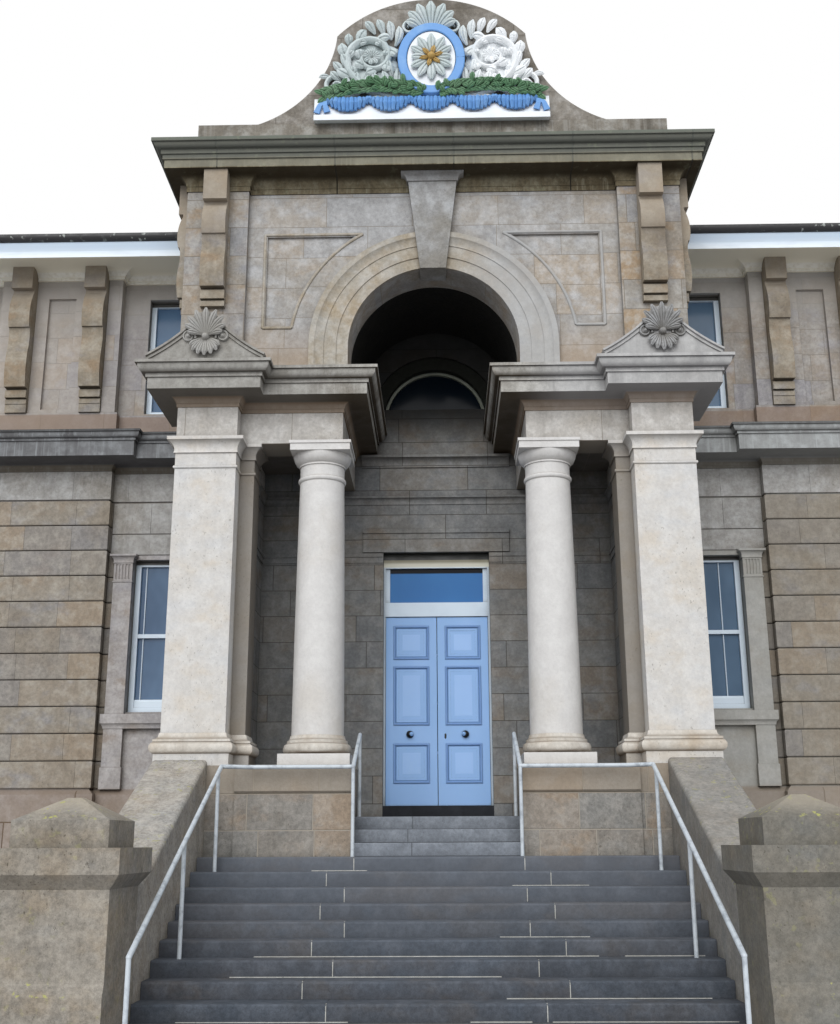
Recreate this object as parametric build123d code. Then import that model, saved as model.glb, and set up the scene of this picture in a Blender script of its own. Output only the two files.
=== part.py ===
from build123d import *
import math
import os

# Two-storey stone courthouse with a raised entrance porch: twin columns and
# piers on pedestals, a vaulted arch above them, and a shaped gable on top.
# Millimetres, +Z up, the entrance looks towards -Y. Heights are from the
# ground. Depths are measured back from the nosing of the top outer step, and
# the finished model is moved so that its origin is at its foot's centre.

# Entrance stair
riser = 150
going = 321
main_risers = 12
porch_risers = 3
stair_half = 2665
step_overlap = 70
nosing_radius = 14
bed_joint = 0.3
cut_over = 1

# Stair walls and newel piers
stair_wall_width = 650
stair_wall_rise = 915
newel_side = 930
newel_slab_side = 1110
newel_offset = 465
newel_centre_y = -3005
newel_shaft_z = 1585
newel_slab_low_z = 1704
newel_slab_top_z = 1916
newel_block_side = 830
newel_block_z = 2142
newel_peak_z = 2335
newel_base_z = 865
newel_base_side = 1000
newel_base_taper = 100
newel_peak_side = 120
coping_radius = 45

# Pedestals under the columns and piers
pedestal_front = 330
pedestal_inner = 985
pedestal_break = 150
pedestal_back = 1350
pedestal_z = 2820
pedestal_cap_z = 2495
pedestal_cap_proud = 30
pier_base_setback = 30

# Columns
column_x = 1445
column_y = 920
column_plinth = 852
column_plinth_height = 140
column_torus_radius = 395
column_torus_height = 135
column_foot_height = 75
column_foot_fillet = 26
column_foot_fillet_height = 20
column_flare = 7
column_entasis = 5
column_foot_radius = 318
column_neck_radius = 283
column_ring_radius = 306
column_ring_z = 6370
column_ring_height = 70
column_echinus_z = 6600
column_echinus_radius = 372
column_annulet = 14
column_annulet_height = 20
abacus_side = 784
abacus_height = 126
abacus_lip = 14
abacus_lip_share = 0.3

# Piers beside the columns
pier_overlap = 185
pier_width = 765
pier_front = 420
pier_plinth_height = 150
pier_base_height = 225
pier_base_proud = 60
respond_width = 180
respond_setback = 330
pier_ring_z = 6458
pier_ring_height = 42
pier_ring_proud = 20
pier_cap_z = 6662
pier_cap_proud = 95

# Entablature over the columns and piers
beam_z = 6860
beam_front = 670
beam_inner = 1170
beam_depth = 520
frieze_top_z = 7270
corona_z = 7405
corona_top_z = 7552
cornice_top_z = 7745
cornice_step = 22
corona_reach = 325
cornice_reach = 465
bed_reach = 100
ceiling_pocket = 260
pediment_half = 740
pediment_crest_half = 200
pediment_foot_height = 45
pediment_neck_height = 430
pediment_height = 670
pediment_front = 40
pediment_depth = 330

# Porch body between the piers and the house
side_wall_thickness = 450
arch_front = 700
arch_thickness = 560
arch_radius = 1121
arch_centre_z = 8190
archivolt_radius = 1630
archivolt_proud = 90
vault_thickness = 220
spandrel_radius = 1920
spandrel_margin = 260
spandrel_top_z = 9800
spandrel_low_z = 8505
spandrel_sink = 35

# Upper piers, consoles and keystone
upper_pier_front = 600
upper_pier_spread = 65
console_width = 315
console_reach = 235
console_low_z = 8720
console_foot_height = 250
console_block_height = 440
side_console_reach = 150
keystone_proud = 130
keystone_foot_half = 170
keystone_head_half = 326
keystone_cap_height = 110
keystone_drop = 55
keystone_depth = 250
keystone_cap_reach = 95

# Main cornice, blocking course and gable
main_bed_z = 10440
main_soffit_z = 10650
main_corona_top_z = 10772
main_cornice_top_z = 11020
main_corona_reach = 275
main_cornice_reach = 430
main_bed_reach = 100
blocking_front = 500
blocking_inset = 120
blocking_top_z = 11410
blocking_depth = 480
gable_front = 530
gable_depth = 400
gable_foot_half = 2437
gable_waist_half = 1620
gable_waist_z = 12000
gable_shoulder_half = 1313
gable_shoulder_z = 12820
gable_top_z = 13405
relief_half = 1600
relief_base_height = 340
relief_proud = 150
relief_lean = 60
relief_stem_half = 240
relief_oval_z = 12330
relief_oval_half_width = 330
relief_oval_half_height = 430

# Main block
wing_front = 2650
bay_recess = 150
wall_thickness = 500
block_depth = 9000
first_pier_x = 4700
wing_pier_width = 1820
bay_width = 1740
plinth_z = 2660
plinth_proud = 70
string_frieze_z = 7145
string_corona_z = 7250
string_corona_top_z = 7470
string_top_z = 7612
string_corona_reach = 430
string_reach = 530
sill_band_z = 8040
sill_band_proud = 40
ground_floor_z = 2415
ground_floor_thickness = 250
upper_floor_z = 7560
upper_floor_thickness = 300

# Windows
window_half = 500
lower_sill_z = 3700
lower_head_z = 5860
upper_sill_z = 8076
upper_head_z = 9925
window_setback = 130
sash_depth = 110
sash_frame = 75
meeting_rail = 55
glass_thickness = 8
side_windows = 3

# Doorway
doorway_half = 752
doorway_head_z = 5935
door_setback = 150
door_sill_top_z = 2425
door_gap = 8
leaf_thickness = 50
leaf_height = 2590
jamb_width = 28
fanlight_stile = 62
fanlight_thickness = 45
fanlight_set = 12
frame_depth = 120
frame_lead = 25
transom_height = 200
head_height = 205
centre_gap = 10
jamb_gap = 6
door_panel_sink = 12
door_stile = 118
door_panels = [(2738, 3252), (3523, 4316), (4436, 4890)]
door_field_inset = 35
door_field_bevel = 14
door_field_set = 2
knob_radius = 30
knob_z = 3388
knob_reach = 45
hinge_heights = [2690, 3730, 4780]
hinge_radius = 8
hinge_height = 120
hinge_play = 0.3
hinge_flap = 3
hinge_flap_width = 28
lunette_radius = 752
lunette_centre_z = 8005
lunette_sill_z = 8100
lunette_setback = 180
lunette_rim = 42
lunette_recess_radius = 930
lunette_recess = 60

# Eaves and roof
fascia_reach = 740
fascia_low_reach = 790
gutter_reach = 880
gutter_low_z = 10398
gutter_top_z = 10500
gutter_wall = 12
soffit_z = 10300
soffit_thickness = 30
eaves_board = 20
fascia_low_z = 10165
fascia_top_z = 10396
fascia_fillet_z = 10362
eaves_bed_z = 10170
eaves_bed_reach = 185
eaves_bed_fillet = 30
eaves_bed_fillet_height = 50
roof_pitch = 22
roof_thickness = 160

# Consoles of the wings
wing_console_width = 310
wing_console_inset = 365
wing_console_reach = 260
wing_console_block_height = 345
wing_console_foot_height = 235
wing_console_low_z = 8170
wing_panel_half = 205
wing_panel_low_z = 8110
wing_panel_top_z = 9890
wing_panel_sink = 60
strip_width = 205
strip_proud = 35

# Pilasters and sills of the lower windows
pilaster_width = 265
pilaster_proud = 80
pilaster_seat = 40
pilaster_foot_z = 2960
pilaster_foot_spread = 14
window_sill_z = 3470
window_sill_top_z = 3665
window_sill_reach = 45
pilaster_neck_z = 5540
pilaster_cap_z = 5800
pilaster_top_z = 5920
pilaster_cap_reach = 55
pilaster_fillet = 12
flute_count = 5
flute_radius = 15
flute_margin = 22

# Mouldings inside the porch
porch_band_z = 5784
porch_band_top_z = 5919
porch_band_reach = 26
lintel_half = 1040
lintel_top_z = 6270
lintel_proud = 30
lintel_fillet = 60
porch_architrave_z = 6640
porch_architrave_top_z = 6760
porch_architrave_reach = 60
porch_cornice_z = 7200
porch_cornice_top_z = 7370
porch_cornice_reach = 110

# Handrails
rail_radius = 24
post_radius = 21
rail_height = 985
rail_clearance = 235
rail_inner_clearance = 35
rail_front_y = 150
rail_foot_y = -3650
rail_end_y = 1200
rail_turn = 290
corner_return = 600

# Worked out from the sizes above
landing_z = riser * main_risers
porch_z = landing_z + riser * porch_risers
stair_wall_outer = stair_half + stair_wall_width
newel_centre_x = stair_half + newel_offset
pier_inner = stair_half - pier_overlap
pier_outer = pier_inner + pier_width
pedestal_outer = pier_inner - pedestal_break
upper_pier_outer = pier_outer + upper_pier_spread
blocking_half = upper_pier_outer - blocking_inset
spandrel_outer = pier_inner - spandrel_margin
rail_x = stair_half - rail_clearance
rail_inner_x = pedestal_inner - rail_inner_clearance
rail_turn_x = rail_x - rail_turn
pier_back = pier_front + pier_width
side_wall_outer = pier_inner + side_wall_thickness
bay_front = wing_front + bay_recess
wall_back = bay_front + wall_thickness
block_back = wing_front + block_depth
arch_back = arch_front + arch_thickness
second_bay_x = first_pier_x + wing_pier_width
second_pier_x = second_bay_x + bay_width
block_half = second_pier_x + wing_pier_width
window_centres = [(side_wall_outer + first_pier_x) / 2, (second_bay_x + second_pier_x) / 2]
side_window_pitch = block_depth / side_windows
side_window_centres = [wing_front + side_window_pitch * (n + 0.5) for n in range(side_windows)]
door_face = bay_front + door_setback
leaf_low_z = door_sill_top_z + door_gap
leaf_top_z = leaf_low_z + leaf_height
leaf_outer = doorway_half - jamb_width - jamb_gap
leaf_back = door_face + leaf_thickness
hinge_x = leaf_outer + jamb_gap / 2
hinge_y = leaf_back + hinge_radius + hinge_play
lower_openings = [(x, lower_sill_z, lower_head_z) for x in window_centres]
upper_openings = [(x, upper_sill_z, upper_head_z) for x in window_centres]
far_front = rail_foot_y - rail_radius
far_back = block_back + gutter_reach
origin_y = (far_front + far_back) / 2


def block(x0, x1, y0, y1, z0, z1):
    """Rectangular block between two corners."""
    corner = Pos(x0, y0, z0)
    return corner * Box(x1 - x0, y1 - y0, z1 - z0, align=(Align.MIN, Align.MIN, Align.MIN))


def outline(path, place):
    """Flat face round a path of points; a step that holds two points is an arc through the first."""
    edges = []
    here = path[0]
    for step in path[1:] + [path[0]]:
        if isinstance(step[0], tuple):
            via, end = step
            edges.append(ThreePointArc(place(*here), place(*via), place(*end)))
        else:
            end = step
            if math.dist(here, end) > 1e-6:
                edges.append(Line(place(*here), place(*end)))
        here = end
    return Face(Wire(edges))


def extrude_x(path, x0, x1):
    """Solid between x0 and x1 from a (depth, height) outline."""
    face = outline(path, lambda y, z: (x0, y, z))
    return extrude(face, x1 - x0, dir=(1, 0, 0))


def extrude_y(path, y0, y1):
    """Solid between y0 and y1 from an (x, height) outline."""
    face = outline(path, lambda x, z: (x, y0, z))
    return extrude(face, y1 - y0, dir=(0, 1, 0))


def extrude_z(path, z0, z1):
    """Solid between z0 and z1 from a plan outline."""
    face = outline(path, lambda x, y: (x, y, z0))
    return extrude(face, z1 - z0, dir=(0, 0, 1))


def run_moulding(plan, section):
    """Moulding of (reach, height) points along a plan line, with its reach on the line's left."""
    (x0, y0), (x1, y1) = plan[:2]
    length = math.dist(plan[0], plan[1])
    out_x = -(y1 - y0) / length
    out_y = (x1 - x0) / length
    face = outline(section, lambda reach, z: (x0 + out_x * reach, y0 + out_y * reach, z))
    path = Polyline(*[(x, y, 0) for x, y in plan])
    return sweep(face, path, transition=Transition.RIGHT)


def other_side(shape):
    """The same piece on the other side of the entrance."""
    return mirror(shape, about=Plane.YZ)


def cornice_section(bed_z, soffit_z, corona_top, top, bed_out, corona_out, top_out, bands=1):
    """Section of a cornice: bed mould, flat soffit, corona, plain bands, ovolo and top fillet."""
    rise = top - corona_top
    band = rise * 0.27
    ovolo_low = corona_top + band * bands
    ovolo_top = top - rise * 0.2
    spare = top_out - corona_out - cornice_step * bands
    ovolo_out = top_out - spare * 0.62
    lip = top_out - spare * 0.25
    hollow = (bed_out * 0.36, soffit_z - (soffit_z - bed_z) * 0.3)
    section = [
        (0, bed_z), (bed_out * 0.15, bed_z), (bed_out * 0.15, bed_z + (soffit_z - bed_z) * 0.35),
        (bed_out * 0.22, bed_z + (soffit_z - bed_z) * 0.35), (hollow, (bed_out, soffit_z)),
        (corona_out, soffit_z), (corona_out, corona_top),
    ]
    for n in range(bands):
        out = corona_out + cornice_step * (n + 1)
        section += [(out, corona_top + band * n), (out, corona_top + band * (n + 1))]
    bulge = (ovolo_out + (lip - ovolo_out) * 0.75, ovolo_low + (ovolo_top - ovolo_low) * 0.4)
    return section + [
        (ovolo_out, ovolo_low), (bulge, (lip, ovolo_top)), (top_out, ovolo_top), (top_out, top), (0, top),
    ]


def base_section(low, high, reach):
    """Section of a base moulding: a half-round torus with a hollow above it."""
    middle = low + (high - low) * 0.55
    torus_out = reach * 0.85
    torus = (reach, (low + middle) / 2)
    hollow = (reach * 0.22, middle + (high - middle) * 0.35)
    return [
        (0, low), (torus_out, low), (torus, (torus_out, middle)),
        (reach * 0.55, middle), (hollow, (reach * 0.1, high)), (0, high),
    ]


def cap_section(low, high, reach):
    """Section of a capital: cavetto and ovolo under a flat fillet."""
    fillet = high - (high - low) * 0.22
    cavetto = (reach * 0.3, low + (fillet - low) * 0.65)
    return [
        (0, low), (reach * 0.22, low), (cavetto, (reach * 0.86, fillet)),
        (reach, fillet), (reach, high), (0, high),
    ]


def step_stone(front, back, low, top, half):
    """One step stone with a rounded nosing."""
    bend = nosing_radius * (1 - math.sqrt(0.5))
    nosing = ((front + bend, top - bend), (front, top - nosing_radius))
    path = [(front, low), (back, low), (back, top), (front + nosing_radius, top), nosing]
    return extrude_x(path, -half, half)


def make_main_steps():
    """Twelve step stones, each one lying on the back of the stone below."""
    stones = []
    for n in range(main_risers):
        front = -going * n
        back = pedestal_front if n == 0 else front + going + step_overlap
        top = landing_z - riser * n
        low = top - riser if n == main_risers - 1 else top - riser + bed_joint
        stones.append(step_stone(front, back, low, top, stair_half))
    return stones


def make_porch_steps():
    """The stones between the pedestals that lead up to the porch floor."""
    stones = []
    for n in range(1, porch_risers):
        top = landing_z + riser * n
        back = going * (n + 1) + step_overlap
        stones.append(step_stone(going * n, back, top - riser + bed_joint, top, pedestal_inner))
    return stones


def make_porch_floor():
    """Paved floor, narrow between the pedestals and as wide as the porch behind them."""
    low = porch_z - riser + bed_joint
    front = step_stone(going * porch_risers, pedestal_back, low, porch_z, pedestal_inner)
    return front + block(-pier_inner, pier_inner, pedestal_back, bay_front, low, porch_z)


def make_porch_core():
    """Rubble core that carries the porch steps and the doorway's sill."""
    core = block(-pedestal_inner, pedestal_inner, pedestal_front, bay_front, 0, landing_z)
    return core + block(-doorway_half, doorway_half, bay_front, wall_back, 0, porch_z)


def make_stair_wall():
    """Raked wall beside the stair, with a coping that is rounded along both edges."""
    slope = riser / going
    back = pedestal_front + pier_base_setback
    front = newel_centre_y + newel_side / 2
    top_front = landing_z + stair_wall_rise + slope * front
    top_back = landing_z + stair_wall_rise + slope * back
    path = [(front, 0), (back, 0), (back, top_back), (front, top_front)]
    wall = extrude_x(path, stair_half, stair_wall_outer)
    rims = [edge for edge in wall.edges() if edge.length > (back - front) * 1.02]
    return fillet(rims, coping_radius)


def make_newel():
    """Square newel pier: base, shaft, spreading neck, slab, set-back block and low pyramid."""
    def square(side, low, high):
        half = side / 2
        return block(
            newel_centre_x - half, newel_centre_x + half,
            newel_centre_y - half, newel_centre_y + half, low, high,
        )

    def frustum(low_side, high_side, low, high):
        faces = []
        for side, z in ((low_side, low), (high_side, high)):
            faces.append(Pos(newel_centre_x, newel_centre_y, z) * Rectangle(side, side))
        return loft(faces)

    base_low = newel_base_z - newel_base_taper
    newel = square(newel_base_side, 0, base_low)
    newel += frustum(newel_base_side, newel_side, base_low, newel_base_z)
    newel += square(newel_side, newel_base_z, newel_shaft_z)
    newel += frustum(newel_side, newel_slab_side, newel_shaft_z, newel_slab_low_z)
    newel += square(newel_slab_side, newel_slab_low_z, newel_slab_top_z)
    newel += square(newel_block_side, newel_slab_top_z, newel_block_z)
    newel += frustum(newel_block_side, newel_peak_side, newel_block_z, newel_peak_z)
    base_front = newel_centre_y - newel_slab_side
    return newel - block(0, stair_half, base_front, 0, 0, newel_base_z)


def make_pedestal():
    """Column pedestal with a cap course, and the plain base of the pier and side wall beside it."""
    dado = block(pedestal_inner, pedestal_outer, pedestal_front, pedestal_back, 0, pedestal_z)
    cap_plan = [
        (pedestal_outer, pedestal_front), (pedestal_inner, pedestal_front),
    ]
    cap = [
        (0, pedestal_cap_z), (pedestal_cap_proud, pedestal_cap_z + pedestal_cap_proud),
        (pedestal_cap_proud, pedestal_z), (0, pedestal_z),
    ]
    dado += run_moulding(cap_plan, cap)
    low_x = pedestal_outer + bed_joint
    base_front = pedestal_front + pier_base_setback
    high_x = pier_outer + pier_base_proud
    pier_base = block(low_x, high_x, base_front, pier_back + pier_base_proud, 0, pedestal_z)
    wall_base = block(pier_inner, side_wall_outer, pier_back, bay_front, 0, pedestal_z)
    return [dado, pier_base + wall_base]


def make_column():
    """Round column with a swelling shaft, ring, echinus and square abacus."""
    foot = pedestal_z + column_plinth_height
    torus_top = foot + column_torus_height
    shaft_foot = torus_top + column_foot_height
    ring_top = column_ring_z + column_ring_height
    abacus_z = beam_z - abacus_height
    torus_inner = column_torus_radius - column_torus_height * 0.4
    middle = (shaft_foot + column_ring_z) / 2
    swell = (column_foot_radius + column_neck_radius) / 2 + column_entasis
    fillet_radius = column_foot_radius + column_foot_fillet
    fillet_top = torus_top + column_foot_fillet_height
    flare_z = (fillet_top * 3 + shaft_foot) / 4
    annulet_radius = column_neck_radius + column_annulet
    annulet_z = column_echinus_z - column_annulet_height
    echinus_bend = (annulet_radius + column_echinus_radius * 3) / 4
    echinus_bend_z = (column_echinus_z + abacus_z) / 2
    section = [
        (0, foot), (torus_inner, foot),
        ((column_torus_radius, (foot + torus_top) / 2), (torus_inner, torus_top)),
        (fillet_radius, torus_top), (fillet_radius, fillet_top),
        ((column_foot_radius + column_flare, flare_z), (column_foot_radius, shaft_foot)),
        ((swell, middle), (column_neck_radius, column_ring_z)),
        ((column_ring_radius, column_ring_z + column_ring_height / 2), (column_neck_radius, ring_top)),
        (column_neck_radius, annulet_z), (annulet_radius, annulet_z), (annulet_radius, column_echinus_z),
        ((echinus_bend, echinus_bend_z), (column_echinus_radius, abacus_z)),
        (0, abacus_z),
    ]
    shaft = revolve(outline(section, lambda r, z: (r, 0, z)), Axis.Z, 360)
    half = column_plinth / 2
    plinth = block(-half, half, -half, half, pedestal_z, foot)
    half = abacus_side / 2
    lip_z = beam_z - abacus_height * abacus_lip_share
    abacus = block(-half, half, -half, half, lip_z, beam_z)
    half -= abacus_lip
    abacus += block(-half, half, -half, half, abacus_z, lip_z)
    return Pos(column_x, column_y, 0) * (shaft + plinth + abacus)


def make_pier():
    """Square pier with its narrow respond, on a moulded base and under a moulded cap."""
    respond_inner = pier_inner - respond_width
    respond_front = pier_front + respond_setback
    plan = [
        (side_wall_outer, pier_back), (pier_outer, pier_back), (pier_outer, pier_front),
        (pier_inner, pier_front), (pier_inner, respond_front), (respond_inner, respond_front),
        (respond_inner, pier_back), (pier_inner, pier_back),
    ]
    pier = extrude_z(plan, pedestal_z, beam_z)
    plinth_top = pedestal_z + pier_plinth_height
    plinth = [
        (0, pedestal_z), (pier_base_proud, pedestal_z), (pier_base_proud, plinth_top), (0, plinth_top),
    ]
    pier += run_moulding(plan, plinth)
    pier += run_moulding(plan, base_section(plinth_top, plinth_top + pier_base_height, pier_base_proud * 0.9))
    ring_top = pier_ring_z + pier_ring_height
    ring = [(0, pier_ring_z), ((pier_ring_proud, (pier_ring_z + ring_top) / 2), (0, ring_top))]
    pier += run_moulding(plan, ring)
    pier += run_moulding(plan, cap_section(pier_cap_z, beam_z, pier_cap_proud))
    return pier


def entablature_plan():
    """Line round the beams over a column and a pier, from the house wall and back to it."""
    return [
        (side_wall_outer, bay_front), (side_wall_outer, pier_back), (pier_outer, pier_back),
        (pier_outer, pier_front), (pier_inner, pier_front), (pier_inner, beam_front),
        (beam_inner, beam_front), (beam_inner, bay_front),
    ]


def make_entablature():
    """Beams over the column, pier and side wall, round a sunk ceiling panel."""
    beams = extrude_z(entablature_plan(), beam_z, frieze_top_z)
    inner = beam_inner + beam_depth
    front = beam_front + beam_depth
    return beams - block(inner, pier_inner, front, bay_front, beam_z, beam_z + ceiling_pocket)


def make_cornice():
    """Cornice that breaks forward over the pier and returns to the house wall on both sides."""
    plan = entablature_plan()
    section = cornice_section(
        frieze_top_z, corona_z, corona_top_z, cornice_top_z, bed_reach, corona_reach, cornice_reach,
    )
    return extrude_z(plan, frieze_top_z, cornice_top_z) + run_moulding(plan, section)


def make_pier_pediment():
    """Small shaped block over the pier's cornice, with concave shoulders and a rounded crest."""
    middle = (pier_inner + pier_outer) / 2
    half = pediment_half
    crest = pediment_crest_half
    neck_z = cornice_top_z + pediment_neck_height
    top_z = cornice_top_z + pediment_height
    low_z = cornice_top_z + pediment_foot_height
    bend_x = crest + (half - crest) * 0.59
    bend_z = low_z + (neck_z - low_z) * 0.34
    path = [
        (middle - half, cornice_top_z), (middle + half, cornice_top_z), (middle + half, low_z),
        ((middle + bend_x, bend_z), (middle + crest, neck_z)),
        ((middle, top_z), (middle - crest, neck_z)),
        ((middle - bend_x, bend_z), (middle - half, low_z)),
    ]
    return extrude_y(path, pediment_front, pediment_front + pediment_depth)


def make_keystone():
    """Tapered keystone with a moulded cap under the main cornice."""
    foot = arch_centre_z + arch_radius - keystone_drop
    cap_z = main_soffit_z - keystone_cap_height
    path = [
        (-keystone_foot_half, foot), (keystone_foot_half, foot),
        (keystone_head_half, cap_z), (-keystone_head_half, cap_z),
    ]
    stone = extrude_y(path, arch_front - keystone_proud, arch_front + keystone_depth)
    plan = [
        (keystone_head_half, arch_front), (keystone_head_half, arch_front - keystone_proud),
        (-keystone_head_half, arch_front - keystone_proud), (-keystone_head_half, arch_front),
    ]
    stone += extrude_z(plan, cap_z, main_soffit_z)
    return stone + run_moulding(plan, cap_section(cap_z, main_soffit_z, keystone_cap_reach))


def make_arch_wall():
    """Half of the wall over the entrance, with its share of the arch and a sunk spandrel panel."""
    leg = (arch_radius * math.cos(math.pi / 4), arch_centre_z + arch_radius * math.sin(math.pi / 4))
    path = [
        (arch_radius, cornice_top_z), (arch_radius, arch_centre_z),
        (leg, (0, arch_centre_z + arch_radius)),
        (0, main_soffit_z), (pier_inner, main_soffit_z), (pier_inner, cornice_top_z),
    ]
    wall = extrude_y(path, arch_front, arch_back)
    rise_low = spandrel_low_z - arch_centre_z
    rise_top = spandrel_top_z - arch_centre_z
    rise_via = (rise_low + rise_top) / 2
    rises = (rise_low, rise_top, rise_via)
    low_x, top_x, via_x = [math.sqrt(spandrel_radius ** 2 - rise ** 2) for rise in rises]
    panel = [
        (spandrel_outer, spandrel_low_z), (spandrel_outer, spandrel_top_z), (top_x, spandrel_top_z),
        ((via_x, arch_centre_z + rise_via), (low_x, spandrel_low_z)),
    ]
    return wall - extrude_y(panel, arch_front, arch_front + spandrel_sink)


def make_archivolt():
    """Moulded ring round the arch, stilted down to the cornice on both sides."""
    width = archivolt_radius - arch_radius
    proud = archivolt_proud
    bands = [
        (0, 0), (0, proud * 0.35), (width * 0.3, proud * 0.35), (width * 0.3, proud * 0.5),
        (width * 0.62, proud * 0.5), (width * 0.62, proud * 0.62),
        ((width * 0.78, proud * 0.7), (width * 0.86, proud)),
        (width, proud), (width, 0),
    ]
    face = outline(bands, lambda out, up: (arch_radius + out, arch_front - up, cornice_top_z))
    spring = [(side * arch_radius, 0, arch_centre_z) for side in (1, -1)]
    legs = [Line((x, 0, cornice_top_z), (x, y, z)) for x, y, z in spring]
    ring = ThreePointArc(spring[0], (0, 0, arch_centre_z + arch_radius), spring[1])
    return sweep(face, Wire([legs[0], ring, legs[1]]))


def make_vault():
    """Barrel vault from the arch wall back to the house wall."""
    outer = arch_radius + vault_thickness
    path = [
        (arch_radius, cornice_top_z), (arch_radius, arch_centre_z),
        ((0, arch_centre_z + arch_radius), (-arch_radius, arch_centre_z)),
        (-arch_radius, cornice_top_z), (-outer, cornice_top_z), (-outer, arch_centre_z),
        ((0, arch_centre_z + outer), (outer, arch_centre_z)), (outer, cornice_top_z),
    ]
    return extrude_y(path, arch_back, bay_front)


def upper_plan():
    """Line round the upper porch, with its two corner piers standing forward of the arch wall."""
    right = [
        (side_wall_outer, bay_front), (side_wall_outer, arch_back), (upper_pier_outer, arch_back),
        (upper_pier_outer, upper_pier_front), (pier_inner, upper_pier_front), (pier_inner, arch_front),
    ]
    return right + [(-x, y) for x, y in reversed(right)]


def make_upper_side():
    """Upper corner pier and the side wall behind it."""
    plan = [
        (pier_inner, upper_pier_front), (upper_pier_outer, upper_pier_front),
        (upper_pier_outer, arch_back), (side_wall_outer, arch_back),
        (side_wall_outer, bay_front), (pier_inner, bay_front),
    ]
    return extrude_z(plan, cornice_top_z, main_soffit_z)


def console_path(back, reach, low, foot, high, head):
    """Side outline of a long scrolled console, as (distance, height) from the wall at back."""
    body = high - head
    span = body - low - foot

    def spot(out, drop):
        return (back - reach * out, body - span * drop)

    steps = [(0.34, 0), (0.34, 0.3), (0.22, 0.3), (0.22, 0.38), (0.48, 0.38), (0.48, 0.86), (0.3, 0.86)]
    return [(back, low)] + [(back - reach * out, low + foot * up) for out, up in steps] + [
        spot(0.3, 1), spot(0.72, 1),
        (spot(0.88, 0.84), spot(0.8, 0.64)), (spot(0.68, 0.52), spot(0.78, 0.4)),
        spot(0.9, 0.4), (spot(1.0, 0.2), spot(0.6, 0.03)), spot(0.6, 0),
        (back - reach, body), (back - reach, high), (back, high),
    ]


def make_upper_consoles():
    """Scrolled consoles on the front and the outer side of an upper pier."""
    middle = (pier_inner + upper_pier_outer) / 2
    half = console_width / 2
    front = extrude_x(
        console_path(
            upper_pier_front, console_reach, console_low_z, console_foot_height,
            main_soffit_z, console_block_height,
        ),
        middle - half, middle + half,
    )
    depth_middle = (upper_pier_front + arch_back) / 2
    side_path = console_path(
        0, side_console_reach, console_low_z, console_foot_height, main_soffit_z, console_block_height,
    )
    side = extrude_y(
        [flip_step(step, upper_pier_outer) for step in side_path],
        depth_middle - half, depth_middle + half,
    )
    return [front, side]


def flip_step(step, wall):
    """Turns a console outline step so that it stands out from a wall at the given x."""
    if isinstance(step[0], tuple):
        return tuple(flip_step(point, wall) for point in step)
    return (wall - step[0], step[1])


def make_main_cornice(cut_by):
    """Roof slab of the porch with its cornice, and a bed mould that follows the piers."""
    front_plan = [
        (upper_pier_outer, wall_back), (upper_pier_outer, upper_pier_front),
        (-upper_pier_outer, upper_pier_front), (-upper_pier_outer, wall_back),
    ]
    whole = cornice_section(
        main_bed_z, main_soffit_z, main_corona_top_z, main_cornice_top_z,
        main_bed_reach, main_corona_reach, main_cornice_reach, bands=2,
    )
    corona = [(0, main_soffit_z)] + whole[5:]
    bed_top = main_soffit_z + cut_over
    bed = whole[:5] + [(main_bed_reach, bed_top), (0, bed_top)]
    slab = extrude_z(front_plan, main_soffit_z, main_cornice_top_z)
    slab += run_moulding(front_plan, corona)
    slab += run_moulding(upper_plan(), bed)
    for piece in cut_by:
        slab -= piece
    return slab


def make_gable():
    """Shaped gable with concave flanks and a segmental head."""
    path = [
        (-gable_foot_half, blocking_top_z), (gable_foot_half, blocking_top_z),
        ((gable_waist_half, gable_waist_z), (gable_shoulder_half, gable_shoulder_z)),
        ((0, gable_top_z), (-gable_shoulder_half, gable_shoulder_z)),
        ((-gable_waist_half, gable_waist_z), (-gable_foot_half, blocking_top_z)),
    ]
    return extrude_y(path, gable_front, gable_front + gable_depth)


def make_gable_relief():
    """Backing of the painted relief: a long base panel, and an oval boss on a block above it."""
    back = gable_front
    front = gable_front - relief_proud
    base_top = blocking_top_z + relief_base_height
    head = front + relief_lean
    path = [(front, blocking_top_z), (back, blocking_top_z), (back, base_top), (head, base_top)]
    stem = block(-relief_stem_half, relief_stem_half, back - relief_lean, back, base_top, relief_oval_z)
    oval = Plane(origin=(0, back, relief_oval_z), x_dir=(1, 0, 0), z_dir=(0, -1, 0))
    boss = extrude(oval * Ellipse(relief_oval_half_width, relief_oval_half_height), relief_proud)
    return extrude_x(path, -relief_half, relief_half) + stem + boss


def front_plan_right():
    """Line along the front of the right wing, from its corner in to the porch."""
    return [
        (block_half, wing_front), (second_pier_x, wing_front), (second_pier_x, bay_front),
        (second_bay_x, bay_front), (second_bay_x, wing_front), (first_pier_x, wing_front),
        (first_pier_x, bay_front), (side_wall_outer, bay_front),
    ]


def upper_front_plan():
    """The same line in the upper storey, where both edges of each wide pier are raised strips."""
    raised = wing_front - strip_proud
    line = []
    for outer, inner in ((block_half, second_pier_x), (second_bay_x, first_pier_x)):
        line += [
            (outer, raised), (outer - strip_width, raised), (outer - strip_width, wing_front),
            (inner + strip_width, wing_front), (inner + strip_width, raised), (inner, raised),
        ]
        line += [(inner, bay_front), (second_bay_x if outer == block_half else side_wall_outer, bay_front)]
    return line


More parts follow.
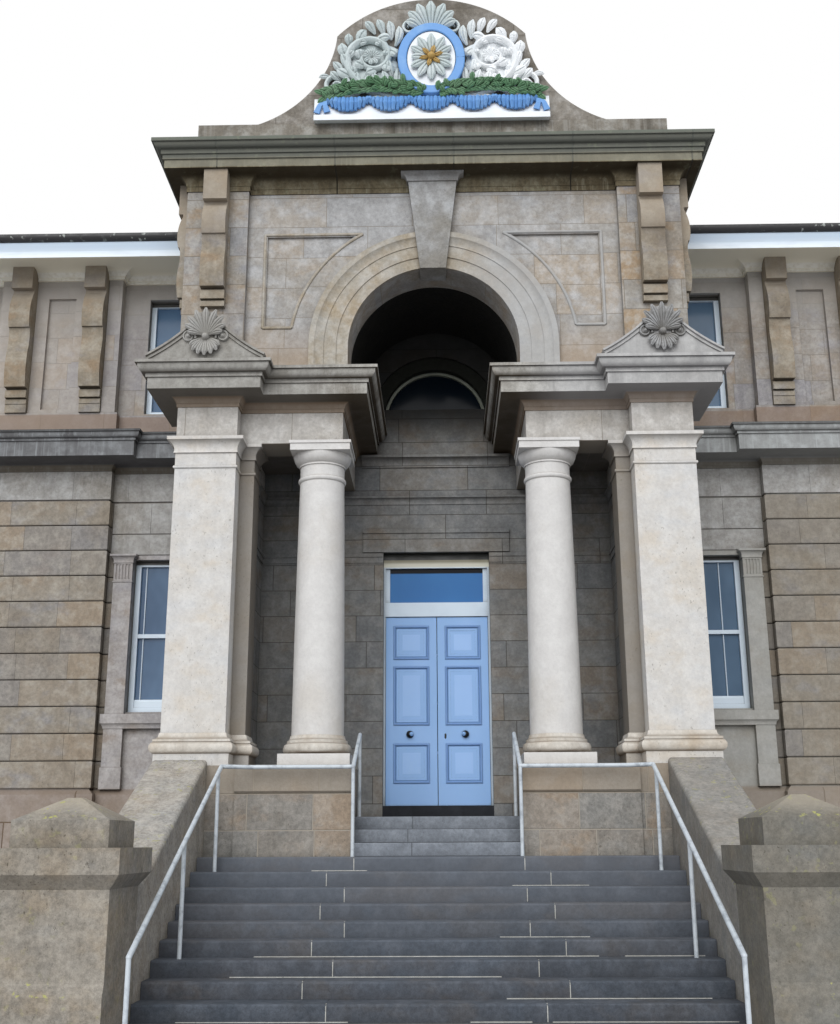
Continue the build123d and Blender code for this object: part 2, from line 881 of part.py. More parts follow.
def make_front_wall(low, high, openings, line, band):
    """One storey of the right wing's front wall, with its windows cut and its base band."""
    plan = [(block_half, wall_back)] + line + [(side_wall_outer, wall_back)]
    wall = extrude_z(plan, low, high)
    wall += run_moulding([(block_half, wall_back)] + front_plan_right(), band)
    for x, sill, head in openings:
        wall -= block(
            x - window_half, x + window_half, bay_front - cut_over, wall_back + cut_over, sill, head,
        )
    return wall


def make_window_pilasters():
    """Pilasters with fluted necks on both sides of each lower window, joined by the window's sill."""
    front = bay_front - pilaster_proud
    seat = bay_front + pilaster_seat
    pieces = []
    for centre in window_centres:
        sill = centre - window_half - pilaster_width, centre + window_half + pilaster_width
        plan = [(sill[1], seat), (sill[1], front), (sill[0], front), (sill[0], seat)]
        bend = window_sill_z + (window_sill_top_z - window_sill_z) * 0.22
        low = window_sill_z + (window_sill_top_z - window_sill_z) * 0.35
        section = [
            (0, window_sill_z), (window_sill_reach * 0.25, window_sill_z),
            ((window_sill_reach * 0.5, bend), (window_sill_reach, low)),
            (window_sill_reach, window_sill_top_z), (0, window_sill_top_z),
        ]
        pieces.append(extrude_z(plan, window_sill_z, window_sill_top_z))
        pieces.append(run_moulding(plan, section))
        for x0 in (sill[0], sill[1] - pilaster_width):
            pieces.append(window_pilaster(x0, x0 + pilaster_width, front, seat))
    return pieces


def window_pilaster(x0, x1, front, seat):
    """One pilaster: foot block, shaft, fluted neck and moulded cap."""
    shaft = block(x0, x1, front, seat, plinth_z, pilaster_top_z)
    line = [(x1, seat), (x1, front), (x0, front), (x0, seat)]
    spread = pilaster_foot_spread
    foot = [(0, plinth_z), (spread, plinth_z), (spread, pilaster_foot_z - spread), (0, pilaster_foot_z)]
    bead_low = pilaster_neck_z - pilaster_fillet * 2
    bead = [
        (0, bead_low), ((pilaster_fillet, pilaster_neck_z - pilaster_fillet), (0, pilaster_neck_z)),
    ]
    shaft += run_moulding(line, foot)
    shaft += run_moulding(line, bead)
    shaft += run_moulding(line, cap_section(pilaster_cap_z, pilaster_top_z, pilaster_cap_reach))
    pitch = (pilaster_width - flute_margin * 2) / flute_count
    low = pilaster_neck_z + flute_margin
    high = pilaster_cap_z - flute_margin
    for n in range(flute_count):
        x = x0 + flute_margin + pitch * (n + 0.5)
        flute = Cylinder(flute_radius, high - low, align=(Align.CENTER, Align.CENTER, Align.MIN))
        shaft -= Pos(x, front, low) * flute
    return shaft


def pier_panels():
    """Tall sunk panels between the consoles of the right wing's two wide piers."""
    panels = []
    for start in (first_pier_x, second_pier_x):
        middle = start + wing_pier_width / 2
        panels.append(block(
            middle - wing_panel_half, middle + wing_panel_half,
            wing_front - cut_over, wing_front + wing_panel_sink, wing_panel_low_z, wing_panel_top_z,
        ))
    return panels


def plinth_section():
    """Plinth of the house with a weathered top."""
    return [(0, 0), (plinth_proud, 0), (plinth_proud, plinth_z - plinth_proud), (0, plinth_z)]


def sill_section():
    """Flat band under the upper windows."""
    return [
        (0, string_top_z), (sill_band_proud, string_top_z),
        (sill_band_proud, sill_band_z), (0, sill_band_z),
    ]


def make_side_wall():
    """Right side wall, both storeys, between the front and the back wall."""
    back = block_back - wall_thickness
    inner = block_half - wall_thickness
    wall = block(inner, block_half, wall_back, back, 0, soffit_z)
    line = [(block_half, back), (block_half, wall_back)]
    wall += run_moulding(line, plinth_section())
    wall += run_moulding(line, sill_section())
    for y in side_window_centres:
        for sill, head in ((lower_sill_z, lower_head_z), (upper_sill_z, upper_head_z)):
            wall -= block(
                inner - cut_over, block_half + cut_over, y - window_half, y + window_half, sill, head,
            )
    return wall


def make_back_wall():
    """Back wall, both storeys, with five windows in each."""
    front = block_back - wall_thickness
    wall = block(-block_half, block_half, front, block_back, 0, soffit_z)
    line = [(-block_half, front), (-block_half, block_back), (block_half, block_back), (block_half, front)]
    wall += run_moulding(line, plinth_section())
    wall += run_moulding(line, sill_section())
    for x in back_window_centres():
        for sill, head in ((lower_sill_z, lower_head_z), (upper_sill_z, upper_head_z)):
            wall -= block(
                x - window_half, x + window_half, front - cut_over, block_back + cut_over, sill, head,
            )
    return wall


def back_window_centres():
    """Back windows stand behind the front ones, with one more on the middle line."""
    return [-x for x in reversed(window_centres)] + [0] + window_centres


def make_porch_wall():
    """House wall beside the doorway, inside the porch, with a band at the height of the door's head."""
    wall = block(doorway_half, side_wall_outer, bay_front, wall_back, 0, doorway_head_z)
    line = [(pier_inner, bay_front), (doorway_half, bay_front)]
    return wall + run_moulding(line, band_section(porch_band_z, porch_band_top_z, porch_band_reach))


def band_section(low, high, reach):
    """Section of a plain band with a wider fillet along its top."""
    step = low + (high - low) * 0.62
    return [(0, low), (reach * 0.5, low), (reach * 0.5, step), (reach, step), (reach, high), (0, high)]


def make_side_wall_of_porch():
    """Right side wall of the porch, with the band and the architrave carried round it."""
    wall = block(pier_inner, side_wall_outer, pier_back, bay_front, pedestal_z, beam_z)
    front = (pier_inner, pier_back + pier_cap_proud + bed_joint)
    line = [front, (pier_inner, bay_front - porch_band_reach - bed_joint)]
    wall += run_moulding(line, band_section(porch_band_z, porch_band_top_z, porch_band_reach))
    line = [front, (pier_inner, bay_front - porch_architrave_reach - bed_joint)]
    return wall + run_moulding(line, porch_architrave())


def porch_architrave():
    """Moulding round the porch at the height of the beam's foot."""
    return cap_section(porch_architrave_z, porch_architrave_top_z, porch_architrave_reach)


def make_wall_over_door():
    """House wall over the doorway, up to the porch roof, with the half-round window cut in it."""
    outer = side_wall_outer
    wall = block(-outer, outer, bay_front, wall_back, doorway_head_z, main_soffit_z)
    wall -= lunette(lunette_recess_radius, bay_front - cut_over, bay_front + lunette_recess)
    wall -= lunette(lunette_radius, bay_front - cut_over, wall_back + cut_over)
    line = [(pier_inner, bay_front), (-pier_inner, bay_front)]
    wall += run_moulding(line, porch_architrave())
    half = beam_inner - bed_reach - bed_joint
    line = [(half, bay_front), (-half, bay_front)]
    wall += run_moulding(line, cap_section(porch_cornice_z, porch_cornice_top_z, porch_cornice_reach))
    step = lintel_top_z - lintel_fillet
    lintel = [
        (0, doorway_head_z), (lintel_proud, doorway_head_z), (lintel_proud, step),
        (lintel_proud * 1.6, step), (lintel_proud * 1.6, lintel_top_z), (0, lintel_top_z),
    ]
    return wall + run_moulding([(lintel_half, bay_front), (-lintel_half, bay_front)], lintel)


def lunette(radius, y0, y1):
    """Half-round solid above the lunette's sill."""
    rise = lunette_sill_z - lunette_centre_z
    half = math.sqrt(radius ** 2 - rise ** 2)
    path = [
        (-half, lunette_sill_z), (half, lunette_sill_z),
        ((0, lunette_centre_z + radius), (-half, lunette_sill_z)),
    ]
    return extrude_y(path, y0, y1)


def make_string_cornice(porch_cornice):
    """String cornice round the right half of the house, in three lengths."""
    section = cornice_section(
        string_frieze_z, string_corona_z, string_corona_top_z, string_top_z,
        bed_reach, string_corona_reach, string_reach,
    )
    front = run_moulding([(block_half, wing_front + corner_return)] + front_plan_right(), section)
    runs = side_and_back_runs()
    return [front - porch_cornice] + [run_moulding(line, section) for line in runs]


def side_and_back_runs():
    """Straight line of the side and the line round the back corner to the middle of the back."""
    side_back = block_back - corner_return
    side = [(block_half, side_back - bed_joint), (block_half, wing_front + corner_return + bed_joint)]
    back = [(bed_joint, block_back), (block_half, block_back), (block_half, side_back)]
    return [side, back]


def make_eaves(cut_by):
    """Boarded soffit, white bed mould and moulded fascia of the right half, in three lengths."""
    cyma = ((fascia_reach + fascia_low_reach) / 2, fascia_low_z + (fascia_fillet_z - fascia_low_z) / 2)
    board_top = soffit_z + soffit_thickness
    section = [
        (-wall_thickness, soffit_z), (fascia_reach, soffit_z), (fascia_reach, fascia_low_z),
        (fascia_low_reach, fascia_low_z), (cyma[0] + eaves_board, cyma[1]),
        (fascia_low_reach + eaves_board, fascia_fillet_z), (fascia_low_reach + eaves_board, fascia_top_z),
        (fascia_reach, fascia_top_z), (fascia_reach, board_top), (-wall_thickness, board_top),
    ]
    bed_low = eaves_bed_z + eaves_bed_fillet_height
    bed_mid = (eaves_bed_reach * 0.48, bed_low + (soffit_z - bed_low) * 0.58)
    bed = [
        (0, eaves_bed_z), (eaves_bed_fillet, eaves_bed_z), (eaves_bed_fillet, bed_low),
        (eaves_bed_fillet * 1.4, bed_low), (bed_mid, (eaves_bed_reach, soffit_z)), (0, soffit_z),
    ]
    straight = [
        (block_half, wing_front + corner_return), (block_half, wing_front), (side_wall_outer, wing_front),
    ]
    front = run_moulding(straight, section)
    front += run_moulding([(block_half, wing_front + corner_return)] + upper_front_plan(), bed)
    for piece in cut_by:
        front -= piece
    runs = [run_moulding(line, section) + run_moulding(line, bed) for line in side_and_back_runs()]
    return [front] + runs


def make_gutter(cut_by):
    """Half-round gutter along the top of the fascia, in three lengths."""
    middle = (fascia_reach + gutter_reach) / 2
    radius = (gutter_reach - fascia_reach) / 2
    inner = radius - gutter_wall
    section = [
        (middle - radius, gutter_top_z), ((middle, gutter_low_z), (middle + radius, gutter_top_z)),
        (middle + inner, gutter_top_z),
        ((middle, gutter_low_z + gutter_wall), (middle - inner, gutter_top_z)),
    ]
    ends = [(block_half, wing_front + corner_return), (block_half, wing_front), (side_wall_outer, wing_front)]
    front = run_moulding(ends, section)
    for piece in cut_by:
        front -= piece
    return [front] + [run_moulding(line, section) for line in side_and_back_runs()]


def make_roof(cut_by):
    """Hollow hipped roof that rests on the eaves boards and stops against the porch roof."""
    slope = math.tan(math.radians(roof_pitch))
    half_x = block_half + fascia_reach
    y0 = wing_front - fascia_reach
    y1 = block_back + fascia_reach
    middle = (y0 + y1) / 2
    rise = (y1 - y0) / 2 * slope
    foot = soffit_z + soffit_thickness

    def hip(drop):
        low = foot - drop
        along = extrude_x([(y0, low), (y1, low), (middle, low + rise)], -half_x, half_x)
        ridge = half_x - (y1 - y0) / 2
        across = [(-half_x, low), (half_x, low), (ridge, low + rise), (-ridge, low + rise)]
        return along & extrude_y(across, y0, y1)

    roof = hip(0) - hip(roof_thickness)
    roof -= block(
        -side_wall_outer, side_wall_outer, y0 - cut_over, wall_back, foot - cut_over, foot + rise,
    )
    for piece in cut_by:
        roof -= piece
    return roof


def make_floor(low, thickness):
    """Floor slab between the house walls."""
    inner = block_half - wall_thickness
    return block(-inner, inner, wall_back, block_back - wall_thickness, low - thickness, low)


def make_wing_consoles():
    """Paired consoles on the two wide piers of the right wing."""
    consoles = []
    for start in (first_pier_x, second_pier_x):
        for x in (start + wing_console_inset, start + wing_pier_width - wing_console_inset):
            path = console_path(
                wing_front, wing_console_reach, wing_console_low_z, wing_console_foot_height,
                soffit_z, wing_console_block_height,
            )
            half = wing_console_width / 2
            console = extrude_x(path, x - half, x + half)
            front = wing_front - wing_console_reach * 0.3
            foot = block(x - half, x + half, front, wing_front, sill_band_z, wing_console_low_z)
            consoles.append(console + foot)
    return consoles


def window_frame(low, high):
    """Sash window frame in the opening's plane, with its outer face at y 0."""
    side = window_half
    frame = block(-side, side, 0, sash_depth, low, high)
    for pane_low, pane_high in pane_heights(low, high):
        frame -= block(
            -side + sash_frame, side - sash_frame, -cut_over, sash_depth + cut_over, pane_low, pane_high,
        )
    return frame


def pane_heights(low, high):
    """Heights of the lower and the upper pane of a sash window."""
    middle = (low + high) / 2
    return [
        (low + sash_frame, middle - meeting_rail / 2),
        (middle + meeting_rail / 2, high - sash_frame),
    ]


def window_panes(low, high):
    """Both panes of a sash window, in the middle of the frame."""
    face = (sash_depth - glass_thickness) / 2
    side = window_half - sash_frame
    return [block(-side, side, face, face + glass_thickness, *span) for span in pane_heights(low, high)]


def window_places():
    """Place of each window, facing outwards, with the heights of its sill and head."""
    places = []
    side_x = block_half - window_setback
    for low, high in ((lower_sill_z, lower_head_z), (upper_sill_z, upper_head_z)):
        for side in (-1, 1):
            for x in window_centres:
                places.append((Pos(side * x, bay_front + window_setback, 0), low, high))
            for y in side_window_centres:
                places.append((Pos(side * side_x, y, 0) * Rot(0, 0, 90 * side), low, high))
        for x in back_window_centres():
            places.append((Pos(x, block_back - window_setback, 0) * Rot(0, 0, 180), low, high))
    return places


def hinge_half(side, own_parts):
    """One half of the right leaf's hinges: its knuckles and its flap, on the given side of the pins."""
    knuckle = hinge_height / 3
    pieces = []
    for middle in hinge_heights:
        low = middle - hinge_height / 2
        near = hinge_x + side * (hinge_radius + hinge_play)
        far = hinge_x + side * hinge_flap_width
        x0, x1 = sorted((near, far))
        pieces.append(block(x0, x1, leaf_back, leaf_back + hinge_flap, low, low + hinge_height))
        for n in own_parts:
            z0 = low + knuckle * n + hinge_play / 2
            z1 = low + knuckle * (n + 1) - hinge_play / 2
            x0, x1 = sorted((hinge_x, far))
            barrel = Cylinder(hinge_radius, z1 - z0, align=(Align.CENTER, Align.CENTER, Align.MIN))
            pieces.append(Pos(hinge_x, hinge_y, z0) * barrel)
            pieces.append(block(x0, x1, leaf_back, leaf_back + hinge_flap, z0, z1))
    return pieces


def make_door_frame():
    """Painted door frame: two jambs with hinge halves, a transom and a head."""
    back = door_face + frame_depth
    inner = doorway_half - jamb_width
    transom_z = leaf_top_z + door_gap
    front = door_face - frame_lead
    jamb = block(inner, doorway_half, front, leaf_back, door_sill_top_z, doorway_head_z)
    for piece in hinge_half(1, (0, 2)):
        jamb += piece
    pieces = [jamb, other_side(jamb)]
    rail = inner - bed_joint
    light_low = transom_z + transom_height
    light_high = doorway_head_z - head_height
    for low, high in ((transom_z, light_low), (light_high, doorway_head_z)):
        pieces.append(block(-rail, rail, front, back, low, high))
    sash_face = door_face + fanlight_set
    for side in (-1, 1):
        x0, x1 = sorted((side * rail, side * (rail - fanlight_stile)))
        low = light_low + bed_joint
        high = light_high - bed_joint
        pieces.append(block(x0, x1, sash_face, sash_face + fanlight_thickness, low, high))
    return pieces


def make_lunette_frame():
    """Half-round painted frame of the lunette."""
    face = bay_front + lunette_setback
    ring = lunette(lunette_radius, face, face + frame_depth)
    return ring - lunette_pane(face - cut_over, face + frame_depth + cut_over)


def lunette_pane(y0, y1):
    """Half-round solid inside the lunette's frame."""
    pane = lunette(lunette_radius - lunette_rim, y0, y1)
    return Pos(0, 0, lunette_rim) * pane & pane


def make_fanlights():
    """Glass over the door and in the lunette."""
    face = door_face + fanlight_set + (fanlight_thickness - glass_thickness) / 2
    low = leaf_top_z + door_gap + transom_height
    inner = doorway_half - jamb_width - fanlight_stile - bed_joint * 2
    over_door = block(-inner, inner, face, face + glass_thickness, low, doorway_head_z - head_height)
    face = bay_front + lunette_setback + (frame_depth - glass_thickness) / 2
    return [over_door, lunette_pane(face, face + glass_thickness)]


def make_door_leaf():
    """Right door leaf: framed, with three raised and fielded panels, and a knob in the lock rail."""
    inner = centre_gap / 2
    x0 = inner + door_stile
    x1 = leaf_outer - door_stile
    sunk = door_face + door_panel_sink
    leaf = block(inner, leaf_outer, door_face, door_face + leaf_thickness, leaf_low_z, leaf_top_z)

    def panel_outline(inset, y, low, high):
        corners = [
            (x0 + inset, low + inset), (x1 - inset, low + inset),
            (x1 - inset, high - inset), (x0 + inset, high - inset),
        ]
        return outline(corners, lambda x, z: (x, y, z))

    for low, high in door_panels:
        leaf -= block(x0, x1, door_face - cut_over, sunk, low, high)
        leaf += loft([
            panel_outline(door_field_bevel, sunk, low, high),
            panel_outline(door_field_inset, door_face + door_field_set, low, high),
        ])
    for piece in hinge_half(-1, (1,)):
        leaf += piece
    middle = (inner + leaf_outer) / 2
    stem = Plane(origin=(middle, door_face, knob_z), z_dir=(0, -1, 0))
    leaf += extrude(stem * Circle(knob_radius * 0.5), knob_reach)
    return leaf + Pos(middle, door_face - knob_reach, knob_z) * Sphere(knob_radius)


def make_handrail():
    """Pipe handrail up the stair, along the pedestal and up to the porch floor, on five posts."""
    slope = riser / going
    top = landing_z + rail_height
    end_top = porch_z + rail_height
    points = [
        (rail_x, rail_foot_y, top + slope * rail_foot_y), (rail_x, 0, top), (rail_turn_x, rail_front_y, top),
        (rail_inner_x, rail_front_y, top), (rail_inner_x, rail_end_y, end_top),
    ]
    rail = pipe(points, rail_radius)
    feet = [(rail_x, rail_foot_y, 0)]
    for n in (6, 1):
        y = -going * (n - 0.5)
        feet.append((rail_x, y, landing_z - riser * n))
    feet += [(rail_inner_x, rail_front_y, landing_z), (rail_inner_x, rail_end_y, porch_z)]
    for x, y, z in feet:
        if x == rail_x:
            head = top + slope * y
        else:
            head = top if y == rail_front_y else end_top
        post = Cylinder(post_radius, head - z, align=(Align.CENTER, Align.CENTER, Align.MIN))
        rail += Pos(x, y, z) * post
    return rail


def pipe(points, radius):
    """Round bar along straight runs with ball corners."""
    bar = None
    for start, end in zip(points, points[1:]):
        run = Vector(end) - Vector(start)
        place = Plane(origin=start, z_dir=run)
        piece = extrude(place * Circle(radius), run.length)
        bar = piece if bar is None else bar + piece
    for corner in points:
        bar += Pos(*corner) * Sphere(radius)
    return bar


os.makedirs("parts", exist_ok=True)
home = Pos(0, -origin_y, 0)


def solids_of(shapes):
    """Flat list of the solids in a shape or a list of shapes."""
    if not isinstance(shapes, (list, tuple)):
        shapes = [shapes]
    return [solid for shape in shapes for solid in shape.solids()]


def put(name, *shapes):
    """Moves the shapes to the model's origin and writes them as one node."""
    solids = [home * solid for shape in shapes for solid in solids_of(shape)]
    piece = solids[0] if len(solids) == 1 else Compound(children=solids)
    export_step(piece, f"parts/{name}.step")


def put_pair(name, shapes):
    """Writes a piece of the right side and its mirror image as two nodes."""
    solids = solids_of(shapes)
    put(f"{name}_right", solids)
    put(f"{name}_left", [other_side(solid) for solid in solids])


def both_sides(shapes):
    """A piece of the right side together with its mirror image."""
    solids = solids_of(shapes)
    return solids + [other_side(solid) for solid in solids]


put("main_steps", make_main_steps())
put("porch_steps", make_porch_steps())
put("porch_floor", make_porch_floor())
put("porch_core", make_porch_core())
newel = make_newel()
put("stair_walls", both_sides(make_stair_wall() - newel))
put("newels", both_sides(newel))
put_pair("pedestal", make_pedestal())
put_pair("column", make_column())
put_pair("pier", make_pier())
put_pair("entablature", make_entablature())
porch_cornice = make_cornice()
put_pair("cornice", porch_cornice)
put("pier_pediments", both_sides(make_pier_pediment()))
put("porch_side_walls", both_sides(make_side_wall_of_porch()))

keystone = make_keystone()
put("keystone", keystone)
arch_wall = make_arch_wall() - keystone
put_pair("arch_wall", arch_wall)
put("archivolt", make_archivolt() - keystone)
put("porch_vault", make_vault())
put_pair("upper_pier", make_upper_side())
upper_consoles = both_sides(make_upper_consoles())
put("upper_consoles", upper_consoles)
main_cornice = make_main_cornice(upper_consoles + [keystone])
put("main_cornice", main_cornice)
blocking = block(
    -blocking_half, blocking_half, blocking_front, blocking_front + blocking_depth,
    main_cornice_top_z, blocking_top_z,
)
put("blocking_course", blocking)
put("gable", make_gable())
put("gable_relief", make_gable_relief())

lower_wall = make_front_wall(0, string_top_z, lower_openings, front_plan_right(), plinth_section())
for piece in make_window_pilasters():
    lower_wall += piece
put_pair("front_wall_lower", lower_wall)
upper_wall = make_front_wall(string_top_z, soffit_z, upper_openings, upper_front_plan(), sill_section())
for panel in pier_panels():
    upper_wall -= panel
put_pair("front_wall_upper", upper_wall - porch_cornice)
put_pair("porch_wall", make_porch_wall())
put("wall_over_door", make_wall_over_door())
put_pair("side_wall", make_side_wall())
put("back_wall", make_back_wall())
put_pair("string_cornice", make_string_cornice(porch_cornice))
wing_consoles = make_wing_consoles()
put("wing_consoles", both_sides(wing_consoles))
put_pair("eaves", make_eaves(wing_consoles + [main_cornice]))
put("gutters", both_sides(make_gutter([main_cornice])))
put("roof", make_roof([main_cornice]))
put("ground_floor", make_floor(ground_floor_z, ground_floor_thickness))
put("upper_floor", make_floor(upper_floor_z, upper_floor_thickness))

frames = []
panes = []
for place, low, high in window_places():
    frames.append(place * window_frame(low, high))
    panes += [place * pane for pane in window_panes(low, high)]
put("window_frames", frames)
put("window_glass", panes)
put("door_sill", block(-doorway_half, doorway_half, bay_front, wall_back, porch_z, door_sill_top_z))
put("door_frame", make_door_frame())
put("lunette_frame", make_lunette_frame())
put("fanlight_glass", make_fanlights())
put_pair("door_leaf", make_door_leaf())
put("handrails", both_sides(make_handrail()))
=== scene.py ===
import bpy
import bmesh
import cmath
import math
import random
from mathutils import Matrix, Vector


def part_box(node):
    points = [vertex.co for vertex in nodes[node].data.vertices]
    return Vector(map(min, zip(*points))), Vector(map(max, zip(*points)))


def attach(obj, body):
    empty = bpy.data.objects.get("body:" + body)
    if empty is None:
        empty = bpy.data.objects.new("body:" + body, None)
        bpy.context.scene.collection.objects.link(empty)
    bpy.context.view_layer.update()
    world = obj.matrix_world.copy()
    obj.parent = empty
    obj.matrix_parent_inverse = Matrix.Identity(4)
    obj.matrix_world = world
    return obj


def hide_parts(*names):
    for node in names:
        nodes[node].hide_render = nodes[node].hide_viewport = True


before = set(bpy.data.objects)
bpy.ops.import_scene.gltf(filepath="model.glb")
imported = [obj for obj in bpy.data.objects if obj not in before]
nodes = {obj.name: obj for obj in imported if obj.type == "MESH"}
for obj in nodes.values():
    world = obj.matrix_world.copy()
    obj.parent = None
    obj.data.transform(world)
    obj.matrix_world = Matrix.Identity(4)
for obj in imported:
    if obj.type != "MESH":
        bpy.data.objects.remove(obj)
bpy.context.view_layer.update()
dice = random.Random(7)

# Depths below are read off the facade, measured back from the nosing of the
# top outer step. This is how far that nosing lies in front of the origin.
NOSING_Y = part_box("pedestal_right")[0].y - 0.3
HOUSE_HALF, HOUSE_FRONT, HOUSE_BACK, BAY_FRONT = 10.08, 2.65, 11.65, 2.8
X, Y, Z = 0, 1, 2


def at(depth):
    """Y of a depth that is measured back from the top step's nosing."""
    return NOSING_Y + depth


def tone(red, green, blue):
    """Linear colour of one that is given as it looks on a screen, from 0 to 255."""
    def linear(value):
        value /= 255
        return value / 12.92 if value <= 0.04045 else ((value + 0.055) / 1.055) ** 2.4
    return linear(red), linear(green), linear(blue), 1.0


class Nodes:
    """Adds nodes to a node tree in short lines. Colours of three numbers are turned by tone()."""

    def __init__(self, tree):
        self.tree = tree

    def add(self, kind, inputs=(), **settings):
        made = self.tree.nodes.new("ShaderNode" + kind)
        for name, value in settings.items():
            setattr(made, name, value)
        for key, value in dict(inputs).items():
            self.feed(made.inputs[key], value)
        return made

    def feed(self, socket, value):
        if isinstance(value, bpy.types.NodeSocket):
            self.tree.links.new(value, socket)
        elif socket.type == "RGBA" and len(value) == 3:
            socket.default_value = tone(*value)
        else:
            socket.default_value = value

    def maths(self, operation, *values):
        return self.add("Math", enumerate(values), operation=operation).outputs[0]

    def product(self, *values):
        total = values[0]
        for value in values[1:]:
            total = self.maths("MULTIPLY", total, value)
        return total

    def less(self, one, two):
        return self.maths("SUBTRACT", one, two)

    def mix(self, factor, one, two, blend="MIX"):
        made = self.add("Mix", {0: factor, 6: one, 7: two}, data_type="RGBA", blend_type=blend)
        return made.outputs[2]

    def between(self, value, low, high, to_low=0.0, to_high=1.0):
        """Smooth step of a value from low to high."""
        inputs = {0: value, 1: low, 2: high, 3: to_low, 4: to_high}
        return self.add("MapRange", inputs, interpolation_type="SMOOTHSTEP").outputs[0]

    def noise(self, vector, scale, detail=3.0, rough=0.55):
        """Noise of one scale, or of a scale for each axis."""
        if isinstance(scale, tuple):
            vector = self.add("Mapping", {"Vector": vector, "Scale": scale}).outputs[0]
            scale = 1.0
        inputs = {"Vector": vector, "Scale": scale, "Detail": detail, "Roughness": rough}
        return self.add("TexNoise", inputs).outputs[0]

    def chance(self, *seeds):
        seed = self.add("CombineXYZ", enumerate(seeds)).outputs[0]
        return self.add("TexWhiteNoise", {"Vector": seed}).outputs[0]

    def spot(self, kind="Object"):
        return self.add("TexCoord").outputs[kind]

    def split(self, vector):
        return self.add("SeparateXYZ", {0: vector}).outputs

    def hollow(self, reach):
        """Openness of a spot, low in corners and hollows."""
        return self.add("AmbientOcclusion", {"Distance": reach}, samples=6).outputs["AO"]

    def seen(self):
        """Mask of the rays that come from the camera, straight or by mirror and glass."""
        ray = self.add("LightPath").outputs
        straight = self.maths("MAXIMUM", ray["Is Camera Ray"], ray["Is Glossy Ray"])
        return self.maths("MAXIMUM", straight, ray["Is Transmission Ray"])

    def group(self, tree, **inputs):
        return self.add("Group", inputs, node_tree=tree).outputs

    def tint(self, skin, shaded):
        """Lets colours come in along an axis: (axis, from, to, colour, amount), with depths for Y."""
        spot = self.split(self.spot())
        for axis, low, high, shade, amount in shaded:
            if axis == Y:
                low, high = at(low), at(high)
            skin = self.mix(self.between(spot[axis], low, high, 0.0, amount), skin, shade)
        return skin


class Paint(Nodes):
    """Nodes of a new material, which goes on every CAD node whose name starts with one of the words."""

    def __init__(self, name, words=""):
        self.material = bpy.data.materials.new(name)
        self.material.use_nodes = True
        super().__init__(self.material.node_tree)
        for node in [nodes[key] for key in nodes if key.startswith(tuple(words.split()))]:
            for slot in node.material_slots:
                slot.material = self.material

    def coat(self, colour, roughness, bump=None, **others):
        """Feeds the principled shader. The bump is (strength, distance, height)."""
        shader = self.tree.nodes["Principled BSDF"].inputs
        inputs = {"Base Color": colour, "Roughness": roughness}
        inputs.update({label.replace("_", " "): value for label, value in others.items()})
        if bump:
            raised = self.add("Bump", zip(("Strength", "Distance", "Height"), bump))
            inputs["Normal"] = raised.outputs[0]
        for label, value in inputs.items():
            self.feed(shader[label], value)
        return self.material


# Camera, lights and floor

def link(thing):
    bpy.context.scene.collection.objects.link(thing)


def aim_camera():
    """Camera at the foot of the stair, looking up at the porch."""
    data = bpy.data.cameras.new("camera")
    data.sensor_fit = "VERTICAL"
    data.sensor_height = 36
    data.lens = 41.555
    data.clip_end = 400
    camera = bpy.data.objects.new("camera", data)
    camera.matrix_world = Matrix.Translation((0.0869, at(-13.5833), 1.9437))
    for angle, axis in ((1.1001, "Z"), (90 + 15.6443, "X"), (-0.2452, "Z")):
        camera.matrix_world @= Matrix.Rotation(math.radians(angle), 4, axis)
    link(camera)
    bpy.context.scene.camera = camera


def light_scene():
    """Soft overcast light from the front and above, and a white background."""
    world = bpy.data.worlds.new("overcast")
    bpy.context.scene.world = world
    world.use_nodes = True
    world.node_tree.nodes.clear()
    sky = Nodes(world.node_tree)
    height = sky.split(sky.spot("Generated"))[Z]
    glow = sky.mix(sky.between(height, -0.1, 0.9), (0.72, 0.74, 0.78, 1), (1.0, 1.02, 1.06, 1))
    light = sky.add("Background", {"Color": glow, "Strength": 0.72})
    plain = sky.add("Background", {"Color": (1, 1, 1, 1), "Strength": 1.0})
    mixed = sky.add("MixShader", {0: sky.seen(), 1: light.outputs[0], 2: plain.outputs[0]})
    sky.add("OutputWorld", {0: mixed.outputs[0]})

    sun = bpy.data.lights.new("front_light", "SUN")
    sun.energy = 1.95
    sun.angle = math.radians(52)
    lamp = bpy.data.objects.new("front_light", sun)
    lamp.rotation_euler = Vector((-0.16, -0.95, 0.52)).to_track_quat("Z", "Y").to_euler()
    link(lamp)


def lay_floor():
    """Plain pale floor that keeps the shadow and throws little light back up."""
    bm = bmesh.new()
    bmesh.ops.create_grid(bm, x_segments=1, y_segments=1, size=130)
    mesh = bpy.data.meshes.new("floor")
    bm.to_mesh(mesh)
    bm.free()
    floor = bpy.data.objects.new("floor", mesh)
    link(floor)
    paint = Paint("floor_paint")
    mesh.materials.append(paint.coat(
        paint.mix(paint.seen(), (0.42, 0.42, 0.43, 1), (0.86, 0.86, 0.86, 1)), 0.9))


# Shared surface effects

def effect(name, colours, values, outputs):
    """New shader node group with colour inputs, value inputs and their usual amounts, and outputs."""
    tree = bpy.data.node_groups.new(name, "ShaderNodeTree")
    value_kind, colour_kind = "NodeSocketFloat", "NodeSocketColor"
    for label in colours.split():
        tree.interface.new_socket(label, in_out="INPUT", socket_type=colour_kind)
    for label, value in values.items():
        tree.interface.new_socket(label, in_out="INPUT", socket_type=value_kind).default_value = value
    for label in outputs.split():
        tree.interface.new_socket(label, in_out="OUTPUT",
                                  socket_type=colour_kind if label == "Colour" else value_kind)
    return Nodes(tree), tree.nodes.new("NodeGroupInput").outputs, tree.nodes.new("NodeGroupOutput").inputs


